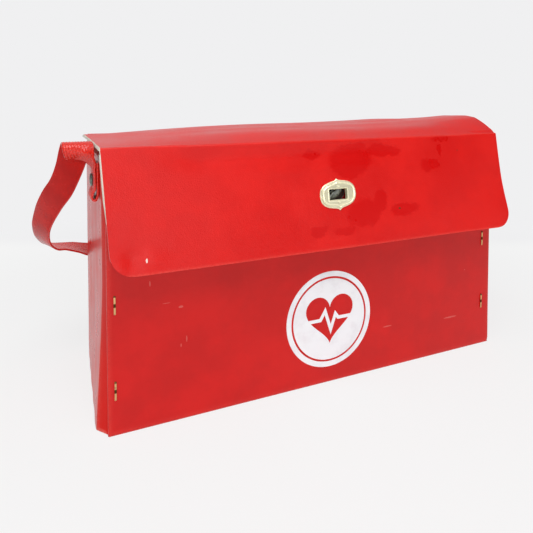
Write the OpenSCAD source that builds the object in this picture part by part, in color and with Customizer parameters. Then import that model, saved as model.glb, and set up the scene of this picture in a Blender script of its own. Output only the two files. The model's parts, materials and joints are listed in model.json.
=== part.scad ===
// Toy doctor case: a leatherette satchel with a crowned lid, a front flap with a
// turn-lock clasp, folded end panels held by staples, and a carrying strap.
// Millimetres, +Z up, front towards -Y. The origin is the middle of the footprint.

/* [Case] */
// Width of the front panel
case_w = 333; // [260:1:400]
// Depth of the case, front face to back face
case_d = 132; // [100:1:170]
// Height of the rim that the lid closes on
case_h = 188.2; // [160:0.1:240]
// Thickness of the stiffening board in every panel
board_t = 1.5; // [1:0.1:2]
// Thickness of the vinyl skin on every panel
vinyl_t = 0.5; // [0.3:0.1:0.8]

/* [End panels] */
// How far the end walls stand outside the front panel's side edges
end_bulge = 2; // [1:0.5:5]
// Extra bulge at the foot of an end wall's front fold
foot_bulge = 5; // [0:0.5:8]
// Height at which that extra bulge starts
foot_bulge_h = 100; // [60:5:140]
// Distance of the end wall's folds behind the panel faces
fold_inset = 11; // [8:1:20]
// Width of the flanges stapled inside the front and back panels
flange_w = 16; // [14:1:30]
// Width of the floor tab at the foot of each end panel
floor_tab_w = 16; // [10:1:30]
// Width of the dust flap folded in under the lid
dust_flap_w = 24; // [10:1:30]
// Height of the dust flap's fold below the rim
dust_flap_drop = 7; // [6:0.5:12]
// Slope of the dust flap
dust_flap_slope = 10; // [0:1:12]

/* [Lid] */
// How far the lid overhangs the front panel's side edges
lid_overhang = 3.5; // [2.5:0.5:4]
// Crown of the lid at its left end
crown_left = 0.5; // [0.5:0.5:8]
// Crown of the lid half way along
crown_mid = 8; // [1:0.5:14]
// Crown of the lid at its right end
crown_right = 14.5; // [1:0.5:18]
// Steepness of the crown at the lid's front and back edges
crown_power = 4; // [2:1:8]
// How far forward the crown's ridge lies at the right end, as a share of half the depth
crown_skew = 0.3; // [0:0.05:0.4]

/* [Flap] */
// Length of the flap below the fold
flap_len = 81.5; // [70:0.5:100]
// Angle at which the resting flap stands off the front panel
flap_flare = 9; // [8:0.5:14]
// Sideways shift of the flap's lower edge
flap_skew = 4.5; // [0:0.5:6]
// Radius of the flap's lower corners
flap_corner_r = 15; // [5:1:30]

/* [Clasp] */
// Width of the clasp plate
clasp_w = 31.4; // [28:0.2:40]
// Height of the clasp plate between its points
clasp_h = 24.6; // [22:0.2:30]
// Thickness of the clasp plate
clasp_t = 0.9; // [0.6:0.1:1.5]
// Distance of the clasp's centre below the fold
clasp_drop = 41; // [30:0.5:55]
// Distance of the clasp's centre right of the middle
clasp_x = 1.5; // [-10:0.5:10]
// Width of the slot
slot_w = 16.2; // [15:0.2:18]
// Height of the slot
slot_h = 8.6; // [7:0.2:10]
// Thickness of the plate that backs the clasp
backing_t = 0.5; // [0.3:0.1:1]

/* [Turn lock] */
// Length of the turn button
button_l = 14; // [10:0.5:14]
// Width of the turn button
button_w = 5; // [4:0.5:6]
// Thickness of the turn button
button_t = 1.4; // [1:0.1:1.6]
// Tilt of the resting button, from level
button_tilt = 40; // [0:5:90]
// Radius of the button's stem
stem_r = 1.5; // [1:0.1:2]
// Width of the lock's base plate
lock_base_w = 22; // [18:0.5:26]
// Height of the lock's base plate
lock_base_h = 15; // [12:0.5:18]
// Thickness of the lock's base plate and washer
lock_plate_t = 0.8; // [0.5:0.1:0.9]

/* [Roundel] */
// Diameter of the printed roundel
roundel_d = 75; // [50:1:90]
// Height of its centre
roundel_z = 50; // [45:1:60]
// Width of its outer ring
ring_w = 4.1; // [2:0.1:8]
// Width of the bare line inside the ring
ring_gap = 1.6; // [0.8:0.1:4]
// Thickness of the printed layer
print_t = 0.2; // [0.1:0.1:0.4]
// Width of the bare heart
heart_w = 42; // [24:1:46]
// Stroke of the pulse line across the heart
pulse_w = 2.6; // [1:0.1:4]

/* [Staples] */
// Length of a staple's crown
staple_l = 12.7; // [8:0.1:16]
// Width of the staple wire
staple_w = 1.3; // [0.8:0.1:2]
// Thickness of the staple wire
staple_t = 0.6; // [0.4:0.1:0.8]
// Distance of the left staples from the panel's side edge
staple_inset_left = 4.5; // [3:0.5:12]
// Distance of the right staples from the panel's side edge
staple_inset_right = 9; // [3:0.5:12]
// Height of the lowest left staple
staple_low_left = 30; // [20:1:40]
// Height of the lowest right staple
staple_low_right = 39; // [20:1:42]
// Height of one staple above the next
staple_pitch = 57; // [40:1:60]
// Staples at each edge of a panel
staple_count = 3; // [2:1:3]

/* [Strap] */
// Width of the strap
strap_w = 20; // [14:0.5:24]
// Thickness of the strap
strap_t = 1.6; // [1:0.1:2]
// Distance of the strap's rivets behind the front face
strap_inset = 28; // [24:1:60]
// Distance of the strap's rivets below the rim
strap_drop = 22; // [20:1:26]
// How far the hanging strap bows out past the end walls
strap_bow = 37; // [34:1:60]
// How far the strap hangs behind the back panel
strap_back = 26; // [20:1:60]
// Height of the hanging strap above the floor
strap_low = 73; // [50:1:100]

/* [Rivets] */
// Radius of a strap rivet's shank
rivet_r = 2; // [1.5:0.1:3]
// Radius of a strap rivet's head
rivet_head_r = 4.5; // [3.5:0.1:5]
// Thickness of a strap rivet's head
rivet_head_t = 1.5; // [0.8:0.1:2]
// Radius of the washers inside the end panels
washer_r = 5.5; // [4:0.1:8]
// Thickness of those washers
washer_t = 0.6; // [0.4:0.1:1]

/* [Clearances] */
// Gap between pieces that move past each other
gap = 0.3; // [0.2:0.05:0.4]
// Radial clearance of a stem or rivet in the piece that turns on it
running = 0.08; // [0.02:0.01:0.1]
// Clearance of a leg, prong or shank in its fixed hole
hole_gap = 0.05; // [0.02:0.01:0.1]

/* [Hidden] */
$fn = 48;

sheet_t = vinyl_t + board_t;
half_w = case_w / 2;
half_d = case_d / 2;
inner_y = half_d - sheet_t;
wall_x = half_w + end_bulge;
fold_y = half_d - fold_inset;
dust_fold_z = case_h - dust_flap_drop;

// The lid lies one gap above the rim. Each fold turns on a bead as thick as the sheet.
bead_r = sheet_t / 2;
lid_z = case_h + gap;
axis_z = lid_z + bead_r;
lid_axis_y = half_d - bead_r;
flap_axis_y = half_d + gap + bead_r;
lid_half_w = half_w + lid_overhang;
lid_front = -flap_axis_y + bead_r;
lid_back = lid_axis_y - bead_r - gap;

// Stack of the turn lock, measured forward from the front face.
lock_z = axis_z - clasp_drop;
boss_r = slot_h / 2 - 0.6;
button_y = gap + sheet_t + clasp_t + 0.2;

// Stack of the strap's plies, measured outward from the end wall.
ply_1 = gap + strap_t / 2;
ply_2 = ply_1 + strap_t + gap;
head_o = ply_2 + strap_t / 2 + gap;
pivot_y = -half_d + strap_inset;
pivot_z = case_h - strap_drop;

vinyl_red = "#d62a1e";
vinyl_side = "#e06058";
board_white = "#ece6d8";
brass = "#e6dca0";
steel = "#8d8f88";

function staple_zs(low) = [for (i = [0 : staple_count - 1]) low + i * staple_pitch];
function arc(cx, cy, r, a0, a1, n = 12) =
    [for (i = [0 : n]) let (a = a0 + (a1 - a0) * i / n) [cx + r * cos(a), cy + r * sin(a)]];

// Turns the XY plane of its children into the XZ plane, extruded towards -Y.
module upright() {
    rotate([90, 0, 0]) children();
}

// A flat panel standing across X, from the floor to the rim.
module panel(y0, t, w, z0, z1) {
    translate([-w / 2, y0, z0]) cube([w, t, z1 - z0]);
}

// ---- Staples, and the slits that their legs pass through ----

module staple_legs(reach, grow = 0) {
    for (end = [-1, 1])
        translate([
            -staple_w / 2 - grow,
            -reach,
            end * (staple_l - staple_t) / 2 - staple_t / 2 - grow
        ])
            cube([staple_w + 2 * grow, reach, staple_t + 2 * grow]);
}

module staple() {
    depth = 2 * sheet_t + staple_t;
    translate([-staple_w / 2, 0, -staple_l / 2]) cube([staple_w, staple_t, staple_l]);
    staple_legs(depth);
    clinch = staple_l * 0.4;
    for (end = [0, 1])
        mirror([0, 0, end])
            translate([-staple_w / 2, -depth, staple_l / 2 - clinch])
                cube([staple_w, staple_t, clinch]);
}

// Puts its children at every staple of one edge: side -1 is left, face -1 is the front.
module at_staples(side, face) {
    inset = side < 0 ? staple_inset_left : staple_inset_right;
    for (z = staple_zs(side < 0 ? staple_low_left : staple_low_right))
        translate([side * (half_w - inset), face * half_d, z])
            mirror([0, face < 0 ? 1 : 0, 0]) children();
}

module staple_slits() {
    for (side = [-1, 1], face = [-1, 1])
        at_staples(side, face) translate([0, 1, 0]) staple_legs(2 * sheet_t + 2, hole_gap);
}

// ---- Body panels ----

module lock_holes() {
    translate([clasp_x, -half_d + 5, lock_z]) upright() {
        cylinder(r = stem_r + running, h = 20);
        lock_prongs(20, hole_gap);
    }
}

module bottom_cover() {
    color(vinyl_red) panel(-half_d + vinyl_t, case_d - 2 * vinyl_t, case_w, 0, vinyl_t);
}

module bottom_board() {
    d = 2 * (inner_y - sheet_t - gap);
    w = case_w - 2 * (sheet_t + gap);
    color(board_white) panel(-d / 2, d, w, vinyl_t, sheet_t);
}

module front_cover() {
    color(vinyl_red) difference() {
        panel(-half_d, vinyl_t, case_w, 0, case_h);
        staple_slits();
        lock_holes();
    }
}

module front_board() {
    color(board_white) difference() {
        panel(-half_d + vinyl_t, board_t, case_w, vinyl_t, case_h);
        staple_slits();
        lock_holes();
    }
}

module back_cover() {
    color(vinyl_red) difference() {
        panel(half_d - vinyl_t, vinyl_t, case_w, 0, case_h);
        staple_slits();
    }
}

module back_board() {
    color(board_white) difference() {
        panel(inner_y, board_t, case_w, vinyl_t, case_h);
        staple_slits();
    }
}

// ---- End panels: a wall with a flange at each side, a dust flap and a floor tab ----

function bulge_at(z) = end_bulge + foot_bulge * pow(max(0, 1 - z / foot_bulge_h), 1.3);

// Plan outline of the right end panel at height z, moved inwards by t.
function end_line(z, t) =
    let (b = bulge_at(z), run = inner_y - fold_y)
    [
        [half_w - flange_w, -inner_y + t],
        [half_w - t + b * t / run, -inner_y + t],
        [half_w + b - t, -fold_y],
        [wall_x - t, fold_y],
        [half_w - t + end_bulge * t / run, inner_y - t],
        [half_w - flange_w, inner_y - t]
    ];

// The folded sheet between depths t0 and t1 below the end panel's outer face. Its two
// sides are split along the same diagonals, so that skin and board share one surface.
module end_sheet(t0, t1) {
    foot = vinyl_t + 0.1;
    levels = [foot, for (i = [1 : 4]) foot_bulge_h * i / 4, dust_fold_z];
    n = len(end_line(foot, 0));
    ring = 2 * n;
    points = [
        for (z = levels, p = concat(end_line(z, t0), [for (i = [n - 1 : -1 : 0]) end_line(z, t1)[i]]))
            [p[0], p[1], z]
    ];
    top = (len(levels) - 1) * ring;
    sides = [
        for (k = [0 : len(levels) - 2], i = [0 : ring - 1])
            let (a = k * ring + i, b = k * ring + (i + 1) % ring)
            each i < n
                ? [[a, a + ring, b], [b, a + ring, b + ring]]
                : [[a, a + ring, b + ring], [a, b + ring, b]]
    ];
    ends = [
        for (i = [0 : n - 2])
            let (a = i, b = i + 1, c = ring - 2 - i, d = ring - 1 - i)
            each [
                [a, b, c], [a, c, d],
                [top + c, top + b, top + a], [top + d, top + c, top + a]
            ]
    ];
    polyhedron(points, concat(sides, ends));
}

// The dust flap's sheet, from height h0 to h1 above its own lower face.
module dust_flap(x0, h0, h1) {
    w = 2 * fold_y - 2;
    translate([wall_x, 0, dust_fold_z])
        rotate([0, dust_flap_slope, 0])
            translate([-dust_flap_w, -w / 2, h0])
                cube([dust_flap_w - x0, w, h1 - h0]);
}

module floor_tab() {
    wall = end_line(sheet_t, sheet_t - 0.2);
    translate([0, 0, sheet_t])
        linear_extrude(board_t)
            polygon([
                [half_w - floor_tab_w, -fold_y + 2], wall[2] + [0, 2],
                wall[3] - [0, 2], [half_w - floor_tab_w, fold_y - 2]
            ]);
}

module rivet_hole(r) {
    translate([wall_x - 10, pivot_y, pivot_z])
        rotate([0, 90, 0])
            cylinder(r = r, h = 20);
}

module end_cover(side) {
    mirror([side < 0 ? 1 : 0, 0, 0])
        difference() {
            union() {
                end_sheet(0, vinyl_t);
                dust_flap(vinyl_t * 0.3, 0, vinyl_t);
                translate([wall_x - vinyl_t * 0.8, -fold_y + 1, dust_fold_z - vinyl_t / 2])
                    cube([vinyl_t * 0.8, 2 * fold_y - 2, vinyl_t * 1.3]);
            }
            rivet_hole(rivet_r + hole_gap);
        }
}

module end_board(side) {
    mirror([side < 0 ? 1 : 0, 0, 0])
        difference() {
            union() {
                end_sheet(vinyl_t, sheet_t);
                dust_flap(vinyl_t, -board_t, 0);
                floor_tab();
            }
            rivet_hole(rivet_r + hole_gap);
        }
}

module left_end_cover() {
    color(vinyl_side) difference() {
        end_cover(-1);
        staple_slits();
    }
}

module left_end_board() {
    color(board_white) difference() {
        end_board(-1);
        staple_slits();
    }
}

module right_end_cover() {
    color(vinyl_side) difference() {
        end_cover(1);
        staple_slits();
    }
}

module right_end_board() {
    color(board_white) difference() {
        end_board(1);
        staple_slits();
    }
}

// ---- Lid: a crowned sheet between two hinge beads ----

// Crown of the lid along its length, s from -1 at the left end to 1 at the right.
function crown_along(s) =
    let (mid = crown_mid * (1 - s * s))
    s < 0
        ? mid + crown_left * s * s
        : crown_mid + (crown_right - crown_mid) * s * s;

function crown(x, y) =
    let (
        s = x / lid_half_w,
        mid_y = (lid_front + lid_back) / 2,
        v = (y - mid_y) / ((lid_back - lid_front) / 2),
        ridge = -crown_skew * pow(max(s, 0), 2),
        w = (v - ridge) / (v < ridge ? 1 + ridge : 1 - ridge)
    )
    crown_along(s) * (1 - pow(abs(w), crown_power));

// The crowned sheet between heights h0 and h1 above the lid's lower face.
module lid_sheet(h0, h1) {
    nx = 20;
    ny = 14;
    row = ny + 1;
    layer = (nx + 1) * row;
    points = [
        for (h = [h0, h1], i = [0 : nx], j = [0 : ny])
            let (
                x = -lid_half_w + 2 * lid_half_w * i / nx,
                y = lid_front + (lid_back - lid_front) * (1 - cos(180 * j / ny)) / 2
            )
            [x, y, lid_z + h + crown(x, y)]
    ];
    skins = [
        for (i = [0 : nx - 1], j = [0 : ny - 1])
            let (a = i * row + j, b = a + row)
            each [
                [a, b, a + 1], [a + 1, b, b + 1],
                [layer + a, layer + a + 1, layer + b], [layer + a + 1, layer + b + 1, layer + b]
            ]
    ];
    rim = concat(
        [for (j = [0 : ny - 1]) j],
        [for (i = [0 : nx - 1]) i * row + ny],
        [for (j = [ny : -1 : 1]) nx * row + j],
        [for (i = [nx : -1 : 1]) i * row]
    );
    edge = [
        for (k = [0 : len(rim) - 1])
            let (a = rim[k], b = rim[(k + 1) % len(rim)])
            each [[a, b, layer + a], [b, layer + b, layer + a]]
    ];
    polyhedron(points, concat(skins, edge));
}

module bead(y, w) {
    translate([-w / 2, y, axis_z]) rotate([0, 90, 0]) cylinder(r = bead_r, h = w);
}

module lid_hinge_strip() {
    tail_h = 12;
    tail_w = case_w - 2 * flange_w - 2;
    color(vinyl_red) {
        bead(lid_axis_y, case_w);
        translate([-case_w / 2, inner_y, case_h]) cube([case_w, sheet_t, bead_r]);
        translate([-tail_w / 2, inner_y - vinyl_t, case_h - tail_h])
            cube([tail_w, vinyl_t, tail_h + gap / 2]);
        translate([-tail_w / 2, inner_y - vinyl_t, case_h]) cube([tail_w, sheet_t, gap / 2]);
    }
}

module lid_cover() {
    color(vinyl_red) lid_sheet(board_t, sheet_t);
}

module lid_board() {
    color(board_white) lid_sheet(0, board_t);
}

module flap_hinge_strip() {
    color(vinyl_red) bead(-flap_axis_y, 2 * lid_half_w);
}

// ---- Flap, drawn hanging straight down from its axis and then flared ----

module at_flap() {
    translate([0, -flap_axis_y, axis_z]) rotate([-flap_flare, 0, 0]) children();
}

function flap_outline() =
    let (
        top = -bead_r - gap,
        foot = -flap_len,
        lean = flap_skew / flap_len,
        r = flap_corner_r,
        left = -lid_half_w + flap_skew - lean * r + r,
        right = lid_half_w + flap_skew - lean * r - r
    )
    concat(
        [[lid_half_w, top], [-lid_half_w, top]],
        arc(left, foot + r, r, 180, 270),
        arc(right, foot + r, r, 270, 360)
    );

// The flap's sheet between depths t0 and t1 below its outer face.
module flap_sheet(t0, t1) {
    difference() {
        translate([0, -bead_r + t1, 0])
            upright() linear_extrude(t1 - t0) polygon(flap_outline());
        at_clasp() {
            translate([0, 0, -5]) linear_extrude(20) square([slot_w, slot_h], center = true);
            translate([0, 0, -5]) clasp_prongs(20, hole_gap);
        }
    }
}

module flap_cover() {
    color(vinyl_red) at_flap() flap_sheet(0, vinyl_t);
}

module flap_board() {
    color(board_white) at_flap() flap_sheet(vinyl_t, sheet_t);
}

// ---- Clasp: children have X across, Y up and Z out of the flap's outer face ----

module at_clasp() {
    translate([clasp_x, -bead_r, -clasp_drop]) upright() children();
}

// Oval outline with a small point at the top and the bottom.
function clasp_outline(w, h) =
    [
        for (a = [0 : 5 : 355])
            let (point = pow(abs(sin(a)), 20) * h * 0.07)
            [w / 2 * cos(a), (h * 0.43 + point) * sin(a)]
    ];

module clasp_prongs(l, grow = 0) {
    for (side = [-1, 1])
        translate([side * (slot_w / 2 + 3.6) - 0.3 - grow, -1.5 - grow, 0])
            cube([0.6 + 2 * grow, 3 + 2 * grow, l]);
}

module clasp_plate() {
    reach = sheet_t + backing_t;
    color(brass) at_flap() at_clasp() {
        linear_extrude(clasp_t)
            difference() {
                polygon(clasp_outline(clasp_w, clasp_h));
                square([slot_w, slot_h], center = true);
            }
        translate([0, 0, -reach - 0.1]) clasp_prongs(reach + 0.2);
        for (side = [-1, 1])
            translate([side * (slot_w / 2 + 3.6) - (side < 0 ? 0.3 : 2.2), -1.5, -reach - 0.4])
                cube([2.5, 3, 0.4]);
    }
}

module clasp_backing() {
    color(steel) at_flap() at_clasp()
        translate([0, 0, -sheet_t - backing_t])
            difference() {
                linear_extrude(backing_t)
                    difference() {
                        polygon(clasp_outline(clasp_w - 3, clasp_h - 3));
                        square([slot_w + 1, slot_h + 1], center = true);
                    }
                translate([0, 0, -5]) clasp_prongs(20, hole_gap);
            }
}

// ---- Turn lock on the front panel: children have Z out of the front face ----

module at_lock() {
    translate([clasp_x, -half_d, lock_z]) upright() children();
}

module lock_prongs(l, grow = 0) {
    for (side = [-1, 1])
        translate([side * lock_base_w * 0.36 - 0.3 - grow, -1.5 - grow, 0])
            cube([0.6 + 2 * grow, 3 + 2 * grow, l]);
}

module lock_base() {
    reach = sheet_t + lock_plate_t;
    color(steel) at_lock() difference() {
        union() {
            linear_extrude(lock_plate_t)
                polygon([
                    for (a = [0 : 6 : 354])
                        [lock_base_w / 2 * cos(a), lock_base_h / 2 * sin(a)]
                ]);
            cylinder(r = boss_r, h = button_y - gap);
            translate([0, 0, -reach - 0.1]) lock_prongs(reach + 0.2);
            for (side = [-1, 1])
                translate([side * lock_base_w * 0.36 - 1.2, -1.5, -reach - 0.4])
                    cube([2.4, 3, 0.4]);
        }
        translate([0, 0, -5]) cylinder(r = stem_r + running, h = 15);
    }
}

module lock_washer() {
    color(steel) at_lock() difference() {
        translate([0, 0, -sheet_t - lock_plate_t])
            linear_extrude(lock_plate_t)
                square([lock_base_w - 2, lock_base_h - 4], center = true);
        translate([0, 0, -10]) cylinder(r = stem_r + running, h = 20);
        translate([0, 0, -10]) lock_prongs(20, hole_gap);
    }
}

module turn_button() {
    tail = sheet_t + lock_plate_t + gap;
    end_r = button_w / 2;
    color(steel) at_lock() {
        translate([0, 0, -tail]) cylinder(r = stem_r, h = tail + button_y + button_t / 2);
        translate([0, 0, -tail - 0.8]) cylinder(r = stem_r + 1, h = 0.8);
        translate([0, 0, button_y]) rotate([0, 0, button_tilt]) {
            for (side = [-1, 1])
                translate([side * (button_l / 2 - end_r), 0, 0]) cylinder(r = end_r, h = button_t);
            translate([-button_l / 2 + end_r, -end_r, 0]) cube([button_l - button_w, button_w, button_t]);
        }
    }
}

// ---- Printed roundel: a ring and a disc with a bare heart crossed by a pulse line ----

function heart(w) = [
    for (a = [0 : 6 : 354])
        w / 32 * [
            16 * pow(sin(a), 3),
            13 * cos(a) - 5 * cos(2 * a) - 2 * cos(3 * a) - cos(4 * a) + 2
        ]
];

function pulse_points(w) = [
    [-0.7 * w, 0], [-0.2 * w, 0], [-0.1 * w, 0.16 * w], [0.02 * w, -0.2 * w],
    [0.12 * w, 0.08 * w], [0.18 * w, 0], [0.7 * w, 0]
];

// One side of a mitred stroke of width w along a row of points.
function stroke_side(p, w) = [
    for (i = [0 : len(p) - 1])
        let (
            before = unit(p[max(i, 1)] - p[max(i, 1) - 1]),
            after = unit(p[min(i + 1, len(p) - 1)] - p[min(i, len(p) - 2)]),
            middle = unit(before + after),
            normal = [-middle[1], middle[0]]
        )
        p[i] + normal * w / 2 / (middle * before)
];

// A stroke is its one side followed by its other side backwards.
function stroke(p, w) =
    let (low = stroke_side(p, -w))
    concat(stroke_side(p, w), [for (i = [len(p) - 1 : -1 : 0]) low[i]]);

module roundel_print() {
    ring_r = roundel_d / 2;
    disc_r = ring_r - ring_w - ring_gap;
    color("white")
        translate([0, -half_d, roundel_z])
            upright() linear_extrude(print_t) {
                difference() {
                    circle(ring_r);
                    circle(ring_r - ring_w);
                }
                difference() {
                    circle(disc_r);
                    difference() {
                        polygon(heart(heart_w));
                        polygon(stroke(pulse_points(heart_w), pulse_w));
                    }
                }
            }
}

// ---- Staple groups ----

module staples_front_left() {
    color(brass) at_staples(-1, -1) staple();
}

module staples_front_right() {
    color(brass) at_staples(1, -1) staple();
}

module staples_back_left() {
    color(brass) at_staples(-1, 1) staple();
}

module staples_back_right() {
    color(brass) at_staples(1, 1) staple();
}

// ---- Strap: one ribbon swept from rivet to rivet, hanging behind the case ----

// Stations of the right half: place of the centreline and direction of the width.
// The loop and the arch: x is measured outward from the end wall, y and z from the rivet.
near_stations = [
    [[ply_1, 0, 12], [0, 1, 0]],
    [[ply_1, 0, 2], [0, 1, 0]],
    [[ply_1, 0, -7], [0, 1, 0]],
    [[ply_1 + 0.2, 0, -10], [0, 1, 0]],
    [[ply_1 + 1.2, 0, -12.6], [0, 1, 0]],
    [[ply_1 + 2.8, 0, -12.8], [0, 1, 0]],
    [[ply_1 + 3.9, 0, -11], [0, 1, 0]],
    [[ply_2 + 1.4, 0, -8.2], [0, 1, 0]],
    [[ply_2 + 0.3, 0, -6], [0, 1, 0]],
    [[ply_2, 0, -4], [0, 1, 0]],
    [[ply_2, 0, 0], [0, 1, 0]],
    [[ply_2, 0, 4], [0, 1, 0]],
    [[ply_2 + 0.6, 0, 8], [0.05, 1, 0.05]],
    [[5.5, -0.5, 12], [0.35, 0.93, 0.1]],
    [[9, -2, 15.5], [0.75, 0.65, 0.1]],
    [[11.8, -3.5, 19], [1, 0.2, 0]],
    [[13, -2, 23.5], [1, 0, 0]],
    [[13.2, 2.5, 25.5], [1, 0, 0]],
    [[13.5, 7.5, 24], [1, 0.05, 0]],
    [[15, 12.5, 17], [0.95, 0.3, 0]],
    [[18, 20, 5], [0.8, 0.6, 0]]
];

// The hanging bow: shares of the bow outward, of the way back to the back face
// and of the way down to the strap's lowest point.
bow_stations = [
    [[0.61, 0.29, 0.09], [0.72, 0.7, 0]],
    [[0.77, 0.4, 0.21], [0.66, 0.75, 0]],
    [[0.92, 0.54, 0.36], [0.57, 0.82, 0]],
    [[0.99, 0.65, 0.5], [0.5, 0.87, 0]],
    [[0.95, 0.75, 0.62], [0.42, 0.9, 0]],
    [[0.81, 0.85, 0.71], [0.36, 0.93, 0]],
    [[0.6, 0.95, 0.76], [0.35, 0.93, 0.03]]
];

function near_to_world(p) = [wall_x + p[0], pivot_y + p[1], pivot_z + p[2]];
function bow_to_world(p) = [
    wall_x + strap_bow * p[0],
    pivot_y + (half_d - pivot_y) * p[1],
    pivot_z - (pivot_z - strap_low) * p[2]
];

// The run behind the case, from the bow to the middle of the back.
corner_y = half_d + strap_back;
back_stations = [
    [[wall_x + strap_bow * 0.27, half_d + strap_back * 0.23, strap_low + 17], [0.2, 0.95, 0.15]],
    [[wall_x - 2, half_d + strap_back * 0.54, strap_low + 12], [0.05, 0.95, 0.28]],
    [[wall_x - 24, corner_y - 6, strap_low + 7], [0, 0.9, 0.35]],
    [[wall_x * 0.6, corner_y - 1.5, strap_low + 2], [0, 0.9, 0.4]],
    [[wall_x * 0.3, corner_y, strap_low + 0.5], [0, 0.9, 0.44]]
];
half_stations = concat(
    [for (s = near_stations) [near_to_world(s[0]), s[1]]],
    [for (s = bow_stations) [bow_to_world(s[0]), s[1]]],
    back_stations
);

function mirrored(v) = [-v[0], v[1], v[2]];
half_n = len(half_stations);
stations = concat(
    half_stations,
    [[[0, corner_y, strap_low], [0, 0.9, 0.44]]],
    [
        for (i = [half_n - 1 : -1 : 0])
            [mirrored(half_stations[i][0]), mirrored(half_stations[i][1])]
    ]
);

// Catmull-Rom curve through row k of the stations.
function station(i, k) = stations[min(max(i, 0), len(stations) - 1)][k];
function between(i, k, t) =
    let (a = station(i - 1, k), b = station(i, k), c = station(i + 1, k), d = station(i + 2, k))
    0.5 * (2 * b + (c - a) * t + (2 * a - 5 * b + 4 * c - d) * t * t
        + (3 * b - a - 3 * c + d) * t * t * t);
steps = 3;
curve = [
    for (i = [0 : len(stations) - 2], j = [0 : steps - 1]) between(i, 0, j / steps),
    station(len(stations) - 1, 0)
];
widths = [
    for (i = [0 : len(stations) - 2], j = [0 : steps - 1]) between(i, 1, j / steps),
    station(len(stations) - 1, 1)
];

function unit(v) = v / norm(v);
function along(i) = unit(curve[min(i + 1, len(curve) - 1)] - curve[max(i - 1, 0)]);
function across(i) = unit(widths[i] - (widths[i] * along(i)) * along(i));
function strap_ring(i) =
    let (a = across(i) * strap_w / 2, n = cross(along(i), across(i)) * strap_t / 2)
    [curve[i] - a - n, curve[i] + a - n, curve[i] + a + n, curve[i] - a + n];

module ribbon() {
    n = len(curve);
    points = [for (i = [0 : n - 1]) each strap_ring(i)];
    sides = [
        for (i = [0 : n - 2], k = [0 : 3])
            let (a = 4 * i + k, b = 4 * i + (k + 1) % 4)
            each [[a, a + 4, b], [b, a + 4, b + 4]]
    ];
    last = 4 * (n - 1);
    ends = [[0, 1, 2], [0, 2, 3], [last + 2, last + 1, last], [last + 3, last + 2, last]];
    polyhedron(points, concat(sides, ends));
}

module strap() {
    color(vinyl_red) difference() {
        ribbon();
        for (side = [-1, 1])
            translate([side * wall_x - 10, pivot_y, pivot_z])
                rotate([0, 90, 0])
                    cylinder(r = rivet_r + running, h = 20);
    }
}

// ---- Strap rivets ----

module strap_rivet(side) {
    inside = sheet_t + washer_t;
    color(steel)
        translate([side * wall_x, pivot_y, pivot_z])
            rotate([0, side * 90, 0]) {
                translate([0, 0, -inside - 0.1]) cylinder(r = rivet_r, h = inside + head_o + 0.2);
                translate([0, 0, head_o]) cylinder(r = rivet_head_r, h = rivet_head_t);
                translate([0, 0, -inside - 0.8]) cylinder(r = rivet_r + 1, h = 0.8);
            }
}

module left_strap_rivet() {
    strap_rivet(-1);
}

module right_strap_rivet() {
    strap_rivet(1);
}

module strap_washers() {
    color(steel)
        for (side = [-1, 1])
            translate([side * (wall_x - sheet_t), pivot_y, pivot_z])
                rotate([0, -side * 90, 0])
                    difference() {
                        cylinder(r = washer_r, h = washer_t);
                        translate([0, 0, -1]) cylinder(r = rivet_r + hole_gap, h = washer_t + 2);
                    }
}

bottom_cover();
bottom_board();
front_cover();
front_board();
back_cover();
back_board();
left_end_cover();
left_end_board();
right_end_cover();
right_end_board();
lid_hinge_strip();
lid_cover();
lid_board();
flap_hinge_strip();
flap_cover();
flap_board();
clasp_plate();
clasp_backing();
lock_base();
lock_washer();
turn_button();
roundel_print();
staples_front_left();
staples_front_right();
staples_back_left();
staples_back_right();
strap();
left_strap_rivet();
right_strap_rivet();
strap_washers();
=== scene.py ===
import json
import math

import bmesh
import bpy
import numpy as np
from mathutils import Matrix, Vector, noise


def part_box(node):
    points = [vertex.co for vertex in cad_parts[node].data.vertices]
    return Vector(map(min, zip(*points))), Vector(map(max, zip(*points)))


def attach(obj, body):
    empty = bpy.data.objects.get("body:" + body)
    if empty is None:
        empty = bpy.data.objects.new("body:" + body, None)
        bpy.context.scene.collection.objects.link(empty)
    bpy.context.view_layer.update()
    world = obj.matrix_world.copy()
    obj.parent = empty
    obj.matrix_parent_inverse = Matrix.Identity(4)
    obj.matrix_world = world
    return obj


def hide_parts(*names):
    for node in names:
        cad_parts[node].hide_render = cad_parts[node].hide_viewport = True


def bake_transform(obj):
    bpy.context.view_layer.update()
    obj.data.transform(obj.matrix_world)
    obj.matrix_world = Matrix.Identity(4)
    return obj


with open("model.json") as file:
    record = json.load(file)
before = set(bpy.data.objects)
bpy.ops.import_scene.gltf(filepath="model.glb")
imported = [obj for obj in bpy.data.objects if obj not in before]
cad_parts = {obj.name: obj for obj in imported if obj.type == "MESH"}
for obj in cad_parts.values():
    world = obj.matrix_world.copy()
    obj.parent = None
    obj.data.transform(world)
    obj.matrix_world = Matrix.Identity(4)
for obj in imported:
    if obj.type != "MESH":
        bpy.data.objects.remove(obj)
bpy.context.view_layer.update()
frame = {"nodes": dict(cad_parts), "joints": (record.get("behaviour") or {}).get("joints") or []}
mm = 0.001
print("frame loaded:", len(frame["nodes"]), "nodes")


# Materials: one function adds a node, one makes the principled base

def linear(hexColour):
    values = [int(hexColour[i:i + 2], 16) / 255 for i in (1, 3, 5)]
    return tuple(v / 12.92 if v <= 0.04045 else ((v + 0.055) / 1.055) ** 2.4 for v in values) + (1,)


def addNode(tree, kind, inputs=None, **settings):
    node = tree.nodes.new(kind)
    for name, value in settings.items():
        setattr(node, name, value)
    for name, value in (inputs or {}).items():
        if isinstance(value, bpy.types.NodeSocket):
            tree.links.new(value, node.inputs[name])
        else:
            node.inputs[name].default_value = value
    return node


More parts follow.
